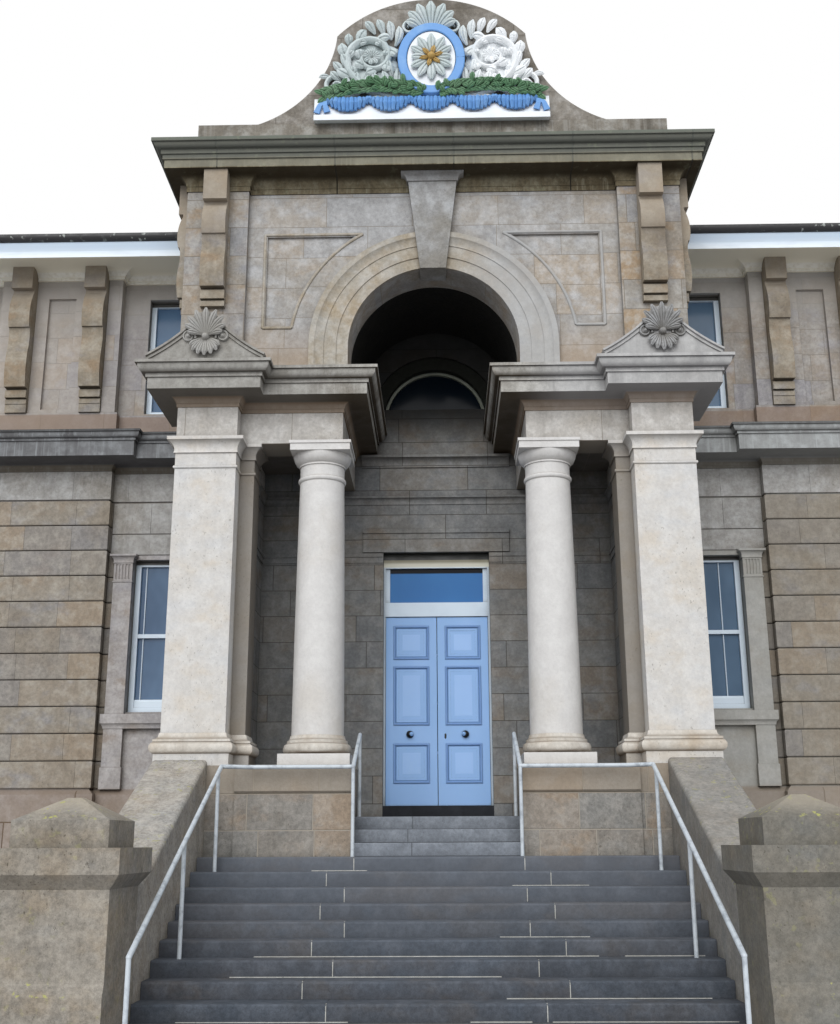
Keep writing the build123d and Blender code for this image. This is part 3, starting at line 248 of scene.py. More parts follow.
def make_courses():
    """Coursed stones of uneven length: a mask of the joints and a random tone for each stone."""
    tree, start, end = effect(
        "courses", "", dict(Length=0.9, Height=0.35, Level=0.0, Joint=0.008), "Joint Tone")
    x, y, z = tree.split(tree.spot())
    sideways = tree.maths("GREATER_THAN", tree.maths("ABSOLUTE", tree.split(tree.spot("Normal"))[X]), 0.7)
    along = tree.maths("ADD", tree.product(y, sideways), tree.product(x, tree.less(1.0, sideways)))
    level = tree.maths("DIVIDE", tree.less(z, start["Level"]), start["Height"])
    row = tree.maths("FLOOR", level)
    up = tree.product(tree.less(level, row), start["Height"])
    chance = tree.chance(row)
    length = tree.product(start["Length"], tree.maths("MULTIPLY_ADD", chance, 0.5, 0.75))
    run = tree.maths("DIVIDE", tree.maths("MULTIPLY_ADD", chance, 7.3, along), length)
    column = tree.maths("FLOOR", run)
    across = tree.product(tree.less(run, column), length)
    half = tree.product(start["Joint"], 0.5)
    edge = tree.maths("MINIMUM", *[tree.maths("MINIMUM", value, tree.less(whole, value))
                                   for value, whole in ((up, start["Height"]), (across, length))])
    tree.feed(end["Joint"], tree.between(edge, half, tree.product(half, 2.2), 1.0, 0.0))
    tree.feed(end["Tone"], tree.chance(row, column))
    return tree.tree


def make_weathering_and_shade():
    """Weathered stone: blotches, grain, rain streaks, dark ledges, and brown soot with painted shade on
    soffits and in hollows.
    """
    tree, start, end = effect("weathered_and_shaded_stone", "Colour Pale Dark Warm Cool Soot Mortar", dict(
        Patches=0.6, Streaks=0.3, Rinse=0.0, Ledges=0.4, Soffit=0.3, Hollows=0.5, Tone=0.5, Spread=0.2,
        Variety=0.0, Joint=0.0, Grain=0.36, Specks=0.3), "Colour Roughness Height")

    def cover(colour, *layers):
        """Lays colours over one another, each through the product of its masks."""
        for label, *masks in layers:
            colour = tree.mix(tree.product(*masks), colour, start[label])
        return colour

    spot = tree.spot()
    nz = tree.split(tree.spot("Normal"))[Z]
    big = tree.noise(spot, 0.9, 5, 0.6)
    mid = tree.noise(spot, 5.5, 5, 0.6)
    fine = tree.noise(spot, 24, 6, 0.66)
    pores = tree.noise(spot, 115, 4, 0.65)
    hue = tree.noise(spot, (1.7, 1.7, 2.6), 4, 0.6)
    wash = tree.noise(spot, (5.0, 5.0, 0.35), 5, 0.62)
    rinse = tree.noise(spot, (19.0, 19.0, 0.4), 4, 0.65)
    speck = tree.noise(spot, (38.0, 38.0, 26.0), 3, 0.6)

    warm = tree.maths("MAXIMUM", tree.between(start["Tone"], 0.6, 0.95), tree.between(hue, 0.5, 0.68))
    cool = tree.maths("MAXIMUM", tree.between(start["Tone"], 0.05, 0.4, 1.0, 0.0),
                      tree.between(hue, 0.32, 0.5, 1.0, 0.0))
    colour = cover(
        start["Colour"], ("Warm", warm, start["Variety"]), ("Cool", cool, start["Variety"]),
        ("Pale", tree.between(mid, 0.42, 0.68), start["Patches"]),
        ("Dark", tree.between(big, 0.5, 0.72), start["Patches"]))
    grain = tree.maths("MULTIPLY_ADD", tree.less(start["Tone"], 0.5), start["Spread"], 1.0)
    for noise, half, swing in ((fine, 0.16, 0.3), (pores, 0.16, 0.18), (mid, 0.14, 0.15)):
        rough = tree.between(noise, 0.5 - half, 0.5 + half, -swing, swing)
        grain = tree.maths("MULTIPLY_ADD", rough, start["Grain"], grain)
    shade = tree.add("CombineColor", {0: grain, 1: grain, 2: grain}).outputs[0]
    upright = tree.between(tree.maths("ABSOLUTE", nz), 0.5, 0.8, 1.0, 0.0)
    colour = cover(
        tree.mix(1.0, colour, shade, "MULTIPLY"),
        ("Soot", tree.between(wash, 0.5, 0.74), start["Streaks"], upright),
        ("Pale", tree.between(rinse, 0.52, 0.66), start["Rinse"], upright),
        ("Soot", tree.between(nz, 0.35, 0.8), start["Ledges"], tree.between(mid, 0.2, 0.6, 0.6, 1.0)),
        # Soot and painted shade on faces that look down, then dirt and painted shade in hollows found by
        # occlusion
        ("Soot", tree.between(nz, -0.95, -0.4, 1.0, 0.0), start["Soffit"]),
        ("Soot", tree.between(tree.hollow(0.2), 0.25, 0.85, 1.0, 0.0), start["Hollows"],
         tree.between(mid, 0.3, 0.6, 0.55, 1.0)),
        ("Mortar", start["Joint"]),
        ("Soot", tree.between(speck, 0.62, 0.7), start["Specks"], tree.between(big, 0.4, 0.6)))
    tree.feed(end["Colour"], colour)
    tree.feed(end["Roughness"], tree.between(fine, 0.3, 0.7, 0.78, 0.94))
    relief = tree.maths("MULTIPLY_ADD", fine, 0.55, tree.product(mid, 0.5))
    relief = tree.maths("MULTIPLY_ADD", pores, 0.25, relief)
    tree.feed(end["Height"], tree.maths("MULTIPLY_ADD", start["Joint"], -1.2, relief))
    return tree.tree


def make_lichen():
    """Crusts of lichen in small round spots, on faces that look up or out."""
    tree, start, end = effect("lichen", "Colour Crust", dict(Amount=0.5, Size=9.0, Steep=0.0), "Colour")
    spots = tree.noise(tree.spot(), start["Size"], 4, 0.5)
    mask = tree.product(
        tree.between(spots, 0.6, 0.66), tree.between(tree.noise(tree.spot(), 2.3, 3), 0.42, 0.6),
        tree.between(tree.split(tree.spot("Normal"))[Z], -0.2, 0.5, start["Steep"], 1.0), start["Amount"])
    tree.feed(end["Colour"], tree.mix(mask, start["Colour"], start["Crust"]))
    return tree.tree


courses_group = make_courses()
weathering_and_shade_group = make_weathering_and_shade()
lichen_group = make_lichen()


# Materials

def stone(name, words, colour, pale, dark, soot=(52, 48, 40), laid=None, below=None, lichen=None,
          bump=0.012, shaded=(), **amounts):
    """Weathered stone, laid in courses of (length, height, level, joint, mortar) or with its own shades.

    Where below is given, the courses only show under that height. Lichen is (crust, amount, size, steep).
    """
    tree = Paint(name, words)
    inputs = {"Colour": colour, "Pale": pale, "Dark": dark, "Soot": soot}
    inputs.update({label.capitalize(): value for label, value in amounts.items()})
    if laid == "shades":
        inputs["Tone"] = tree.add("Attribute", attribute_name="shade").outputs["Fac"]
    elif laid:
        length, height, level, joint, inputs["Mortar"] = laid
        mask, shade = tree.group(courses_group, Length=length, Height=height, Level=level, Joint=joint)
        if below:
            under = tree.between(tree.split(tree.spot())[Z], below, below - 0.01)
            mask = tree.product(mask, under)
            shade = tree.maths("MULTIPLY_ADD", tree.less(shade, 0.5), under, 0.5)
        inputs.update({"Joint": mask, "Tone": shade})
    worn = tree.group(weathering_and_shade_group, **inputs)
    skin = tree.tint(worn["Colour"], shaded)
    if lichen:
        crust, amount, size, steep = lichen
        skin = tree.group(lichen_group, Colour=skin, Crust=crust, Amount=amount, Size=size, Steep=steep)[0]
    return tree.coat(skin, worn["Roughness"], (0.55, bump, worn["Height"]), Specular_IOR_Level=0.25)


def paint_finish(name, words, colour, worn, gloss=0.38, dirt_and_shade=(60, 66, 74), grime=0.5, reach=0.05,
                 shaded=()):
    """Brushed house paint, chalky and rubbed in places, with dirt and painted shade in its hollows."""
    tree = Paint(name, words)
    spot = tree.spot()
    patch = tree.noise(spot, 3.0, 5, 0.6)
    skin = tree.mix(tree.between(patch, 0.45, 0.75, 0.0, 0.55), colour, worn)
    skin = tree.mix(tree.between(tree.noise(spot, 38.0, 4, 0.6), 0.62, 0.72, 0.0, 0.3), skin, worn)
    # Dirt and painted shade darken the paint in corners and hollows found by occlusion; grime is its amount
    skin = tree.mix(tree.between(tree.hollow(reach), 0.3, 0.9, grime, 0.0), skin, dirt_and_shade)
    return tree.coat(tree.tint(skin, shaded), tree.between(patch, 0.3, 0.7, gloss, gloss + 0.2),
                     (0.25, 0.002, tree.noise(spot, (60.0, 60.0, 3.0), 4)))


def glass_finish(name, words, colour, sheen, shine, shaded):
    """Window glass with a dark room behind it, brighter where it catches the sky."""
    tree = Paint(name, words)
    spot = tree.spot()
    wave = tree.noise(spot, (1.3, 1.3, 0.7))
    skin = tree.tint(tree.mix(tree.between(wave, 0.35, 0.7), colour, sheen), shaded)
    return tree.coat(skin, tree.between(wave, 0.3, 0.7, 0.06, 0.14), (0.08, 0.01, tree.noise(spot, 2.2, 2)),
                     Specular_IOR_Level=shine)


def metal_finish(name, words, colour, dark, metallic=0.0, crust=None):
    """Painted or galvanised metal with dull patches."""
    tree = Paint(name, words)
    spot = tree.spot()
    patch = tree.noise(spot, 9.0, 5, 0.6)
    skin = tree.mix(tree.between(patch, 0.45, 0.75), colour, dark)
    skin = tree.mix(tree.between(tree.noise(spot, 90.0), 0.62, 0.75, 0.0, 0.5), skin, dark)
    if crust:
        skin = tree.group(lichen_group, Colour=skin, Crust=crust, Amount=0.9, Size=12.0, Steep=0.9)[0]
    return tree.coat(skin, tree.between(patch, 0.3, 0.7, 0.35, 0.6), Metallic=metallic)


def paint_eaves():
    """Painted eaves: a pale board with painted shade darkening its top, a pale soffit and a cream bed
    mould.
    """
    tree = Paint("eaves_paint", "eaves_")
    spot = tree.spot()
    x, y, z = tree.split(spot)
    nz = tree.split(tree.spot("Normal"))[Z]
    reach = tree.maths("MAXIMUM", tree.less(tree.maths("ABSOLUTE", x), HOUSE_HALF), tree.maths(
        "MAXIMUM", tree.less(at(HOUSE_FRONT), y), tree.less(y, at(HOUSE_BACK))))
    # The board turns darker and bluer towards its top: painted shade under the gutter
    board = tree.mix(tree.between(z, 10.17, 10.33), (238, 247, 253), (202, 219, 236))
    grime = tree.between(tree.noise(spot, (3.0, 3.0, 14.0), 5), 0.45, 0.7, 0.0, 0.35)
    board = tree.mix(grime, board, (204, 216, 228))
    grime = tree.between(tree.noise(spot, 16.0, 4), 0.4, 0.7, 0.0, 0.6)
    cream = tree.mix(grime, (250, 247, 236), (224, 217, 198))
    skin = tree.mix(tree.between(reach, 0.4, 0.5), cream, board)
    skin = tree.mix(tree.between(nz, -0.95, -0.8, 1.0, 0.0), skin, (248, 242, 222))
    tree.coat(skin, 0.5)


PALE = dict(patches=0.4, ledges=0.5, soffit=0.35, hollows=0.45)
WING = dict(patches=0.5, streaks=0.14, spread=0.14, variety=0.7, grain=0.34)
STAIR = dict(patches=0.4, streaks=0.2, soffit=0.6, variety=0.6, grain=0.6, specks=0.7)
PLINTH = (Z, 2.69, 2.63, (134, 114, 94), 0.55)

stone("pale_sandstone", "column_", (216, 214, 211), (226, 225, 222), (200, 192, 180), (124, 116, 104),
    streaks=0.1, grain=0.1, specks=0.1, **PALE)
# The pier returns grow darker towards the back of the porch: painted shade
stone("pale_pier_sandstone", "pier_left pier_right", (210, 207, 202), (222, 221, 218), (198, 188, 172),
    (104, 96, 84), streaks=0.12, variety=0.5, grain=0.16, specks=0.5, warm=(212, 200, 182),
    cool=(204, 206, 208), shaded=[(Y, 0.62, 0.8, (104, 94, 80), 0.85)], **PALE)
base_stone = stone("pale_base_sandstone", "", (206, 200, 190), (220, 216, 208), (176, 158, 134),
    (96, 78, 58), patches=0.8, ledges=0.5, soffit=0.5, hollows=0.75, grain=0.2)
stone("beam_sandstone", "entablature_", (190, 186, 180), (208, 206, 202), (156, 146, 130), (66, 54, 40),
    streaks=0.2, ledges=0.7, soffit=0.75, hollows=0.55, spread=0.1, grain=0.3,
    laid=(1.25, 0.43, 6.86, 0.004, (140, 132, 120)))
cornice_stone = stone("stained_cornice_sandstone", "cornice_ pier_pediments", (164, 161, 154),
    (190, 188, 182), (118, 110, 98), (56, 42, 20), patches=0.7, streaks=0.4, rinse=0.3, ledges=0.35,
    soffit=0.9, grain=0.4, shaded=[(X, 1.0, 1.8, (196, 198, 202), 0.4),
    (X, -1.0, -1.8, (132, 131, 127), 0.35), (Z, 7.4, 7.385, (140, 116, 90), 0.6)])
stone("arch_sandstone", "arch_wall_", (166, 162, 156), (188, 189, 190), (146, 134, 116), (84, 74, 60),
    patches=0.55, streaks=0.14, spread=0.1, variety=0.6, laid=(1.15, 0.44, 7.745, 0.004, (146, 138, 126)),
    warm=(172, 156, 136), cool=(172, 174, 177), shaded=[(Z, 8.7, 7.9, (172, 150, 126), 0.5)])
warm_arch_stone = stone("archivolt_sandstone", "archivolt", (170, 162, 148), (186, 184, 178),
    (152, 136, 108), (96, 80, 58), streaks=0.15, variety=0.5, grain=0.34, warm=(170, 150, 120),
    cool=(172, 174, 172), shaded=[(X, 0.1, 1.0, (178, 181, 184), 0.6)])
key_stone = stone("keystone_sandstone", "keystone", (156, 156, 155), (178, 180, 182), (126, 120, 108),
    (80, 72, 60), patches=0.7, streaks=0.25, hollows=0.6, shaded=[(X, -2.0, -2.3, (182, 180, 174), 0.55)])
stone("upper_pier_sandstone", "upper_pier_", (156, 151, 143), (176, 174, 169), (130, 118, 102),
    (70, 63, 52), streaks=0.22, spread=0.12, variety=0.8, laid=(0.9, 0.42, 7.8, 0.004, (126, 116, 102)),
    warm=(164, 140, 110), cool=(156, 157, 160))
stone("sooty_cornice_sandstone", "main_cornice", (118, 108, 86), (138, 132, 112), (84, 74, 56),
    (42, 34, 20), patches=0.8, streaks=0.45, rinse=0.75, ledges=0.35, soffit=0.9, hollows=0.35, grain=0.6,
    laid=(1.5, 0.9, 10.3, 0.012, (48, 44, 36)), lichen=((150, 156, 130), 0.7, 10.0, 0.15),
    shaded=[(Z, 10.655, 10.67, (138, 138, 126), 0.55), (Z, 10.76, 10.8, (92, 96, 92), 0.7),
    (Z, 10.97, 11.0, (118, 128, 116), 0.35)])
stone("blocking_sandstone", "blocking_course", (134, 128, 118), (164, 162, 156), (100, 94, 84),
    (58, 54, 46), patches=0.8, streaks=0.55, rinse=0.4, grain=0.4)
stone("gable_sandstone", "gable", (134, 128, 119), (158, 154, 148), (104, 97, 86), (56, 51, 43),
    patches=0.8, streaks=0.35, grain=0.5, laid=(1.1, 0.46, 11.41, 0.005, (108, 102, 93)))
stone("wing_wall_sandstone", "side_wall_ back_wall", (150, 145, 137), (170, 167, 162), (130, 120, 106),
    (68, 61, 52), laid=(1.05, 0.41, 8.04, 0.004, (136, 130, 120)), warm=(152, 137, 118),
    cool=(150, 149, 155), shaded=[PLINTH], **WING)
# Painted light lifts the wall under the eaves and towards the left end; painted shade darkens the window
# reveals
stone("upper_wall_sandstone", "front_wall_upper", (156, 150, 143), (176, 173, 169), (136, 126, 113),
    (68, 61, 52), hollows=0.3, laid=(1.05, 0.41, 8.04, 0.004, (140, 134, 125)), warm=(156, 140, 122),
    cool=(154, 153, 159), shaded=[(Z, 9.2, 9.9, (196, 192, 186), 0.6),
    (X, -3.0, -6.5, (188, 180, 172), 0.45), (Y, 2.84, 2.88, (74, 70, 62), 0.6),
    (Z, 8.03, 8.0, (140, 116, 96), 0.6)], **WING)
# Painted shade darkens the window reveals, set back behind the wall face
stone("window_bay_sandstone", "front_wall_lower", (165, 160, 157), (184, 181, 180), (140, 131, 123),
    (76, 68, 58), streaks=0.25, hollows=0.6, variety=0.6, laid=(1.1, 0.44, 0.03, 0.009, (52, 42, 34)),
    below=2.64, warm=(152, 138, 124), cool=(160, 158, 161), shaded=[(X, 1.5, 2.5, (168, 170, 162), 0.5),
    (Y, 2.84, 2.88, (70, 66, 58), 0.6), PLINTH])
course_stone = stone("rusticated_sandstone", "", (148, 140, 128), (164, 159, 149), (132, 121, 106),
    (60, 53, 44), patches=0.5, streaks=0.14, ledges=0.3, soffit=0.6, hollows=0.7, variety=0.65, grain=0.42,
    laid="shades", warm=(148, 132, 113), cool=(146, 145, 147), shaded=[(X, 3.0, 5.0, (126, 120, 108), 0.3)])
frieze_stone = stone("frieze_sandstone", "", (162, 160, 156), (180, 180, 179), (138, 131, 120),
    (70, 61, 48), streaks=0.25, hollows=0.6, spread=0.1, laid="shades")
# Painted light lifts the consoles near their tops, under the eaves
stone("console_sandstone", "upper_consoles wing_consoles", (150, 140, 124), (168, 161, 148), (118, 106, 90),
    (68, 60, 48), streaks=0.22, ledges=0.3, soffit=0.5, hollows=0.55, variety=0.7, grain=0.34,
    warm=(154, 132, 106), cool=(148, 146, 146), shaded=[(Z, 9.6, 9.8, (176, 164, 148), 0.45)])
stone("wing_cornice_sandstone", "string_cornice_", (136, 136, 134), (180, 184, 184), (96, 92, 86),
    (52, 40, 20), patches=0.7, streaks=0.5, rinse=0.85, ledges=0.85, soffit=0.85, hollows=0.45, grain=0.34,
    shaded=[(X, -2.0, -3.2, (98, 101, 108), 0.45), (X, 2.0, 3.2, (172, 175, 175), 0.45),
    (Z, 7.24, 7.22, (112, 100, 78), 0.6), (Z, 7.54, 7.6, (54, 54, 54), 0.65)])
# Painted shade: near black high up under the vault, and on faces set back behind the porch's back wall such
# as the reveal over the door
stone("porch_wall_sandstone", "porch_wall_ wall_over_door porch_side_walls", (134, 133, 130),
    (150, 150, 147), (112, 108, 101), (60, 56, 50), streaks=0.1, hollows=0.6, variety=0.6,
    laid=(1.3, 0.367, 2.82, 0.005, (84, 80, 74)), warm=(136, 122, 106), cool=(130, 134, 138),
    shaded=[(Z, 7.3, 8.1, (12, 12, 11), 0.92), (Y, 2.82, 2.86, (22, 24, 18), 0.9)])
stone("pedestal_sandstone", "pedestal_", (146, 140, 132), (158, 153, 146), (130, 121, 109), (72, 68, 56),
    patches=0.45, streaks=0.2, ledges=0.3, spread=0.14, variety=0.7, grain=0.5, specks=0.5,
    laid=(0.72, 0.408, 2.087, 0.008, (166, 158, 146)), warm=(158, 138, 116), cool=(144, 144, 141),
    shaded=[(Z, 2.48, 2.5, (160, 148, 132), 0.6)])
stone("newel_sandstone", "newels", (146, 140, 130), (158, 152, 142), (134, 126, 114), (72, 66, 54),
    ledges=0.1, lichen=((178, 178, 104), 0.9, 15.0, 0.0), warm=(156, 142, 122), cool=(140, 140, 138),
    shaded=[(X, 0.5, 2.0, (82, 84, 78), 0.42), (Z, 2.14, 2.3, (182, 172, 154), 0.5)], **STAIR)
stone("coping_sandstone", "stair_walls", (166, 161, 153), (180, 175, 167), (150, 143, 132), (72, 66, 54),
    ledges=0.0, lichen=((170, 168, 108), 0.5, 17.0, 0.1), warm=(168, 156, 140), cool=(156, 157, 156),
    shaded=[(X, 0.5, 2.5, (104, 106, 106), 0.4)], **STAIR)
step_stone = stone("bluestone", "", (82, 86, 93), (100, 105, 113), (66, 69, 74), (40, 41, 44), patches=0.5,
    streaks=0.12, ledges=0.0, hollows=0.6, spread=0.24, variety=0.6, grain=0.5, laid="shades",
    warm=(98, 93, 89), cool=(84, 93, 104), bump=0.006, shaded=[(Z, 0.5, 2.1, (116, 121, 129), 0.5)])
stone("porch_bluestone", "porch_core porch_steps porch_floor", (130, 136, 144), (148, 154, 162),
    (108, 113, 119), (56, 58, 62), patches=0.5, streaks=0.1, ledges=0.0, spread=0.1, grain=0.4,
    laid=(1.4, 0.15, 0.001, 0.004, (76, 78, 80)), bump=0.006)
stone("dark_sill", "door_sill", (44, 46, 51), (54, 56, 62), (34, 35, 38), (20, 20, 22), patches=0.5,
    grain=0.3, bump=0.004)
# The vault is near black: painted shade inside the porch roof
stone("vault_painted_shade", "porch_vault", (20, 19, 17), (30, 28, 25), (12, 12, 10), (5, 5, 4), streaks=0.4,
    hollows=0.6, grain=0.3)
mortar = stone("pale_mortar", "", (188, 188, 182), (214, 214, 210), (160, 158, 150), patches=0.5, grain=0.3)
paint_eaves()
paint_finish("blue_door_paint", "door_leaf_", (146, 188, 240), (158, 196, 240))
# The same blue door paint, darker on the panel mouldings and lighter on the raised fields: painted shade
# and painted light
shaded_moulding_blue = paint_finish("blue_door_moulding_painted_shade", "", (120, 158, 212), (138, 172, 220))
lit_field_blue = paint_finish("blue_door_field_painted_light", "", (158, 198, 250), (170, 206, 250))
white_paint = paint_finish("white_paint", "", (216, 230, 242), (200, 212, 224), 0.3)
# Dark bands at the heads of the window frames are painted shadow under the lintels
paint_finish("window_paint", "window_frames", (216, 230, 242), (200, 212, 224), 0.3,
    shaded=[(Z, 5.8, 5.82, (46, 44, 40), 1.0), (Z, 5.87, 5.88, (216, 230, 242), 1.0),
    (Z, 9.85, 9.865, (46, 44, 40), 1.0)])
# The head of the door frame grows darker upwards to a near black band: painted shade and painted shadow
# under the lintel
paint_finish("door_frame_paint", "door_frame", (216, 232, 246), (204, 218, 232), 0.35, (62, 58, 52), 0.6,
    0.15, [(Z, 5.725, 5.76, (214, 212, 194), 1.0), (Z, 5.78, 5.83, (142, 136, 112), 1.0),
    (Z, 5.842, 5.856, (24, 26, 20), 1.0)])
relief_white = paint_finish("relief_white", "gable_relief", (244, 248, 252), (226, 234, 242), 0.5,
    (120, 126, 130), 0.45)
relief_grey = paint_finish("relief_grey", "", (196, 208, 208), (240, 244, 246), 0.6, (74, 74, 70), 0.75,
    shaded=[(X, 0.2, 0.8, (250, 252, 254), 0.85)])
relief_blue = paint_finish("relief_blue", "", (104, 158, 220), (150, 190, 232), 0.45, (36, 60, 100), 0.75)
relief_green = paint_finish("relief_green", "", (84, 128, 90), (140, 168, 140), 0.5, (24, 44, 30), 0.85)
relief_gold = paint_finish("relief_gold", "", (186, 152, 84), (206, 182, 128), 0.45, (86, 66, 34), 0.6)
paint_finish("lunette_paint", "lunette_frame", (128, 132, 118), (104, 108, 96), 0.5)
# The glass of the windows right of the porch is lighter: painted reflection
glass_finish("window_glass", "window_glass", (62, 88, 118), (92, 120, 150), 0.16,
    [(X, 2.9, 3.1, (100, 120, 136), 0.4)])
# A near black strip at the top of the fanlight is painted shadow, and the lunette glass is near black with
# painted shade
glass_finish("fanlight_glass", "fanlight_glass", (66, 122, 184), (72, 132, 192), 0.06,
    [(Z, 5.655, 5.672, (4, 6, 16), 1.0), (Z, 7.2, 7.6, (9, 19, 28), 1.0)])
slate = stone("slate", "roof", (66, 68, 74), (84, 87, 94), (48, 48, 52), (30, 30, 32), patches=0.5,
    ledges=0.0, spread=0.5, grain=0.3, laid=(0.3, 0.0962, 10.33, 0.004, (30, 30, 32)),
    lichen=((150, 154, 140), 0.5, 8.0, 0.5))
metal_finish("galvanised_pipe", "handrails", (204, 212, 218), (160, 168, 176), 0.0)
metal_finish("cast_gutter", "gutters", (30, 29, 32), (44, 44, 44), 0.0, (182, 188, 182))
knob_metal = metal_finish("black_knob", "", (22, 22, 24), (38, 36, 34), 0.2)
paint_finish("floor_boards", "ground_floor upper_floor", (110, 84, 58), (88, 66, 46), 0.55)


# Ways to make pieces

def through(rings):
    """Closed solid that runs through rings of points: the first ring's face, extruded on and on."""
    bm = bmesh.new()
    face = bm.faces.new([bm.verts.new(point) for point in rings[0]])
    for ring in rings[1:]:
        made = bmesh.ops.extrude_face_region(bm, geom=[face])["geom"]
        face = next(part for part in made if isinstance(part, bmesh.types.BMFace))
        for vert, point in zip(face.verts, ring):
            vert.co = point
    bmesh.ops.recalc_face_normals(bm, faces=bm.faces)
    return bm


def across(x0, x1, section):
    """Solid of (depth, height) points between two x."""
    return through([[(x, at(depth), z) for depth, z in section] for x in (x0, x1)])


def turned(profile, x, depth, z, steps, axis=(0, -1, 0)):
    """Solid of (radius, forward) points turned round an axis that starts at a place."""
    bm = bmesh.new()
    lean = Vector((0, 0, 1)).rotation_difference(Vector(axis)).to_matrix().to_4x4()
    verts = [bm.verts.new((radius, 0, forward)) for radius, forward in profile]
    edges = [bm.edges.new(pair) for pair in zip(verts, verts[1:])]
    bmesh.ops.spin(bm, geom=verts + edges, cent=(0, 0, 0), axis=(0, 0, 1), angle=math.tau,
                   steps=steps, use_merge=True)
    bmesh.ops.remove_doubles(bm, verts=bm.verts, dist=1e-5)
    bmesh.ops.transform(bm, matrix=Matrix.Translation((x, at(depth), z)) @ lean, verts=bm.verts)
    bmesh.ops.recalc_face_normals(bm, faces=bm.faces)
    return bm


class Piece:
    """Gathers the solids of one visible piece, with a shade for each of them."""

    def __init__(self):
        self.bm = bmesh.new()
        self.shades = []

    def take(self, part, side=1):
        """Adds a solid, mirrored to the other side of the entrance where side is -1."""
        if side < 0:
            bmesh.ops.scale(part, vec=(-1, 1, 1), verts=part.verts)
            bmesh.ops.reverse_faces(part, faces=part.faces)
        mesh = bpy.data.meshes.new("part")
        part.to_mesh(mesh)
        part.free()
        self.bm.from_mesh(mesh)
        self.shades += [dice.random()] * len(mesh.polygons)
        bpy.data.meshes.remove(mesh)

    def show(self, name, paint, body="building", hides=(), smooth=0):
        """Turns what was gathered into an object that rides on a body."""
        mesh = bpy.data.meshes.new(name)
        self.bm.to_mesh(mesh)
        self.bm.free()
        mesh.attributes.new("shade", "FLOAT", "FACE").data.foreach_set("value", self.shades)
        if smooth:
            mesh.shade_smooth()
            mesh.set_sharp_from_angle(angle=math.radians(smooth))
        mesh.materials.append(paint)
        piece = bpy.data.objects.new(name, mesh)
        link(piece)
        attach(piece, body)
        for node in hides:
            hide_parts(node)


class PlanLine:
    """Line in plan whose stones stand out on its left."""

    def __init__(self, *points):
        self.points = [Vector(point) for point in points]
        self.marks = [0.0]
        for here, there in zip(self.points, self.points[1:]):
            self.marks.append(self.marks[-1] + (there - here).length)

    def place(self, mark):
        """Point and outward vector at a length along the line, mitred at its corners."""
        leg = next(n for n in range(len(self.points) - 1) if mark <= self.marks[n + 1] + 1e-6)
        here, there = self.points[leg:leg + 2]
        run = (there - here).normalized()
        out = Vector((-run.y, run.x))
        if abs(mark - self.marks[leg + 1]) < 1e-6 and leg + 2 < len(self.points):
            turn = (self.points[leg + 2] - there).normalized()
            second = Vector((-turn.y, turn.x))
            out = (out + second) / (1 + out.dot(second))
        return here + run * (mark - self.marks[leg]), out

    def solid(self, start, stop, section):
        """Solid of (reach, height) points between two lengths along the line."""
        marks = [start] + [mark for mark in self.marks if start + 1e-4 < mark < stop - 1e-4] + [stop]
        return through([[(point.x + out.x * reach, at(point.y + out.y * reach), z) for reach, z in section]
                        for point, out in map(self.place, marks)])

    def lay(self, piece, side, section, holes, shortest, longest, lap=0.14, joint=0.0015):
        """One course of stones of uneven length, left out where there are holes."""
        start = 0.0
        for low, high in sorted(holes) + [(self.marks[-1], 0)]:
            mark = start if low - start > 0.1 else low
            while mark < low - 1e-4:
                stop = mark + dice.uniform(shortest, longest)
                for corner in self.marks[1:-1]:
                    if abs(stop - corner) < lap:
                        stop = corner + lap
                if low - stop < shortest * 0.6:
                    stop = low
                piece.take(self.solid(mark + joint, stop - joint, section), side)
                mark = stop
            start = high


def trail(line, section, sizes=None):
    """Solid that follows (x, z, depth) points on the facade. The section has (across, forward) points."""
    rings = []
    for n, (x, z, depth) in enumerate(line):
        before = line[max(n - 1, 0)]
        after = line[min(n + 1, len(line) - 1)]
        run = Vector((after[0] - before[0], after[1] - before[1])).normalized()
        size = sizes[n] if sizes else 1.0
        rings.append([(x - run.y * a * size, at(depth) - b * size, z + run.x * a * size)
                      for a, b in section])
    return through(rings)


def round_section(radius, sides=8, flat=1.0):
    """Round or oval section for a trail."""
    turns = [math.tau * n / sides for n in range(sides)]
    return [(radius * math.cos(turn), radius * flat * math.sin(turn)) for turn in turns]


def arc(centre, radius, start, stop, steps, depth, inner=None, ease=0.8):
    """Points of an arc on the facade, in degrees from +X towards up, or of a scroll to an inner radius."""
    line = []
    for n in range(steps + 1):
        share = n / steps
        turn = math.radians(start + (stop - start) * share)
        reach = radius if inner is None else radius + (inner - radius) * share ** ease
        line.append((centre[0] + reach * math.cos(turn), centre[1] + reach * math.sin(turn), depth))
    return line


def arc_through(first, via, last, steps, depth):
    """Points of the arc through three (x, z) points, found as complex numbers."""
    a, b, c = [complex(*point) for point in (first, via, last)]
    ratio = (c - a) / (b - a)
    centre = a + (b - a) * (ratio - abs(ratio) ** 2) / (2j * ratio.imag)
    start = math.degrees(cmath.phase(a - centre))
    sweep = cmath.phase((b - centre) / (a - centre)) + cmath.phase((c - centre) / (b - centre))
    return arc((centre.real, centre.imag), abs(a - centre), start, start + math.degrees(sweep), steps,
               depth)


def scroll(centre, radius, inner, start, turns, steps, depth, thick, flat=1.3):
    """Points of a scroll from its rim inwards, clockwise for less than 0 turns, and its thinning solid."""
    line = arc(centre, radius, start, start + 360 * turns, steps, depth, inner)
    return line, trail(line, round_section(thick, 7, flat), [1 - 0.5 * n / steps for n in range(steps + 1)])


def heading(line, n):
    """Direction of a line at its n-th point, in degrees."""
    return math.degrees(math.atan2(line[n + 1][1] - line[n][1], line[n + 1][0] - line[n][0]))


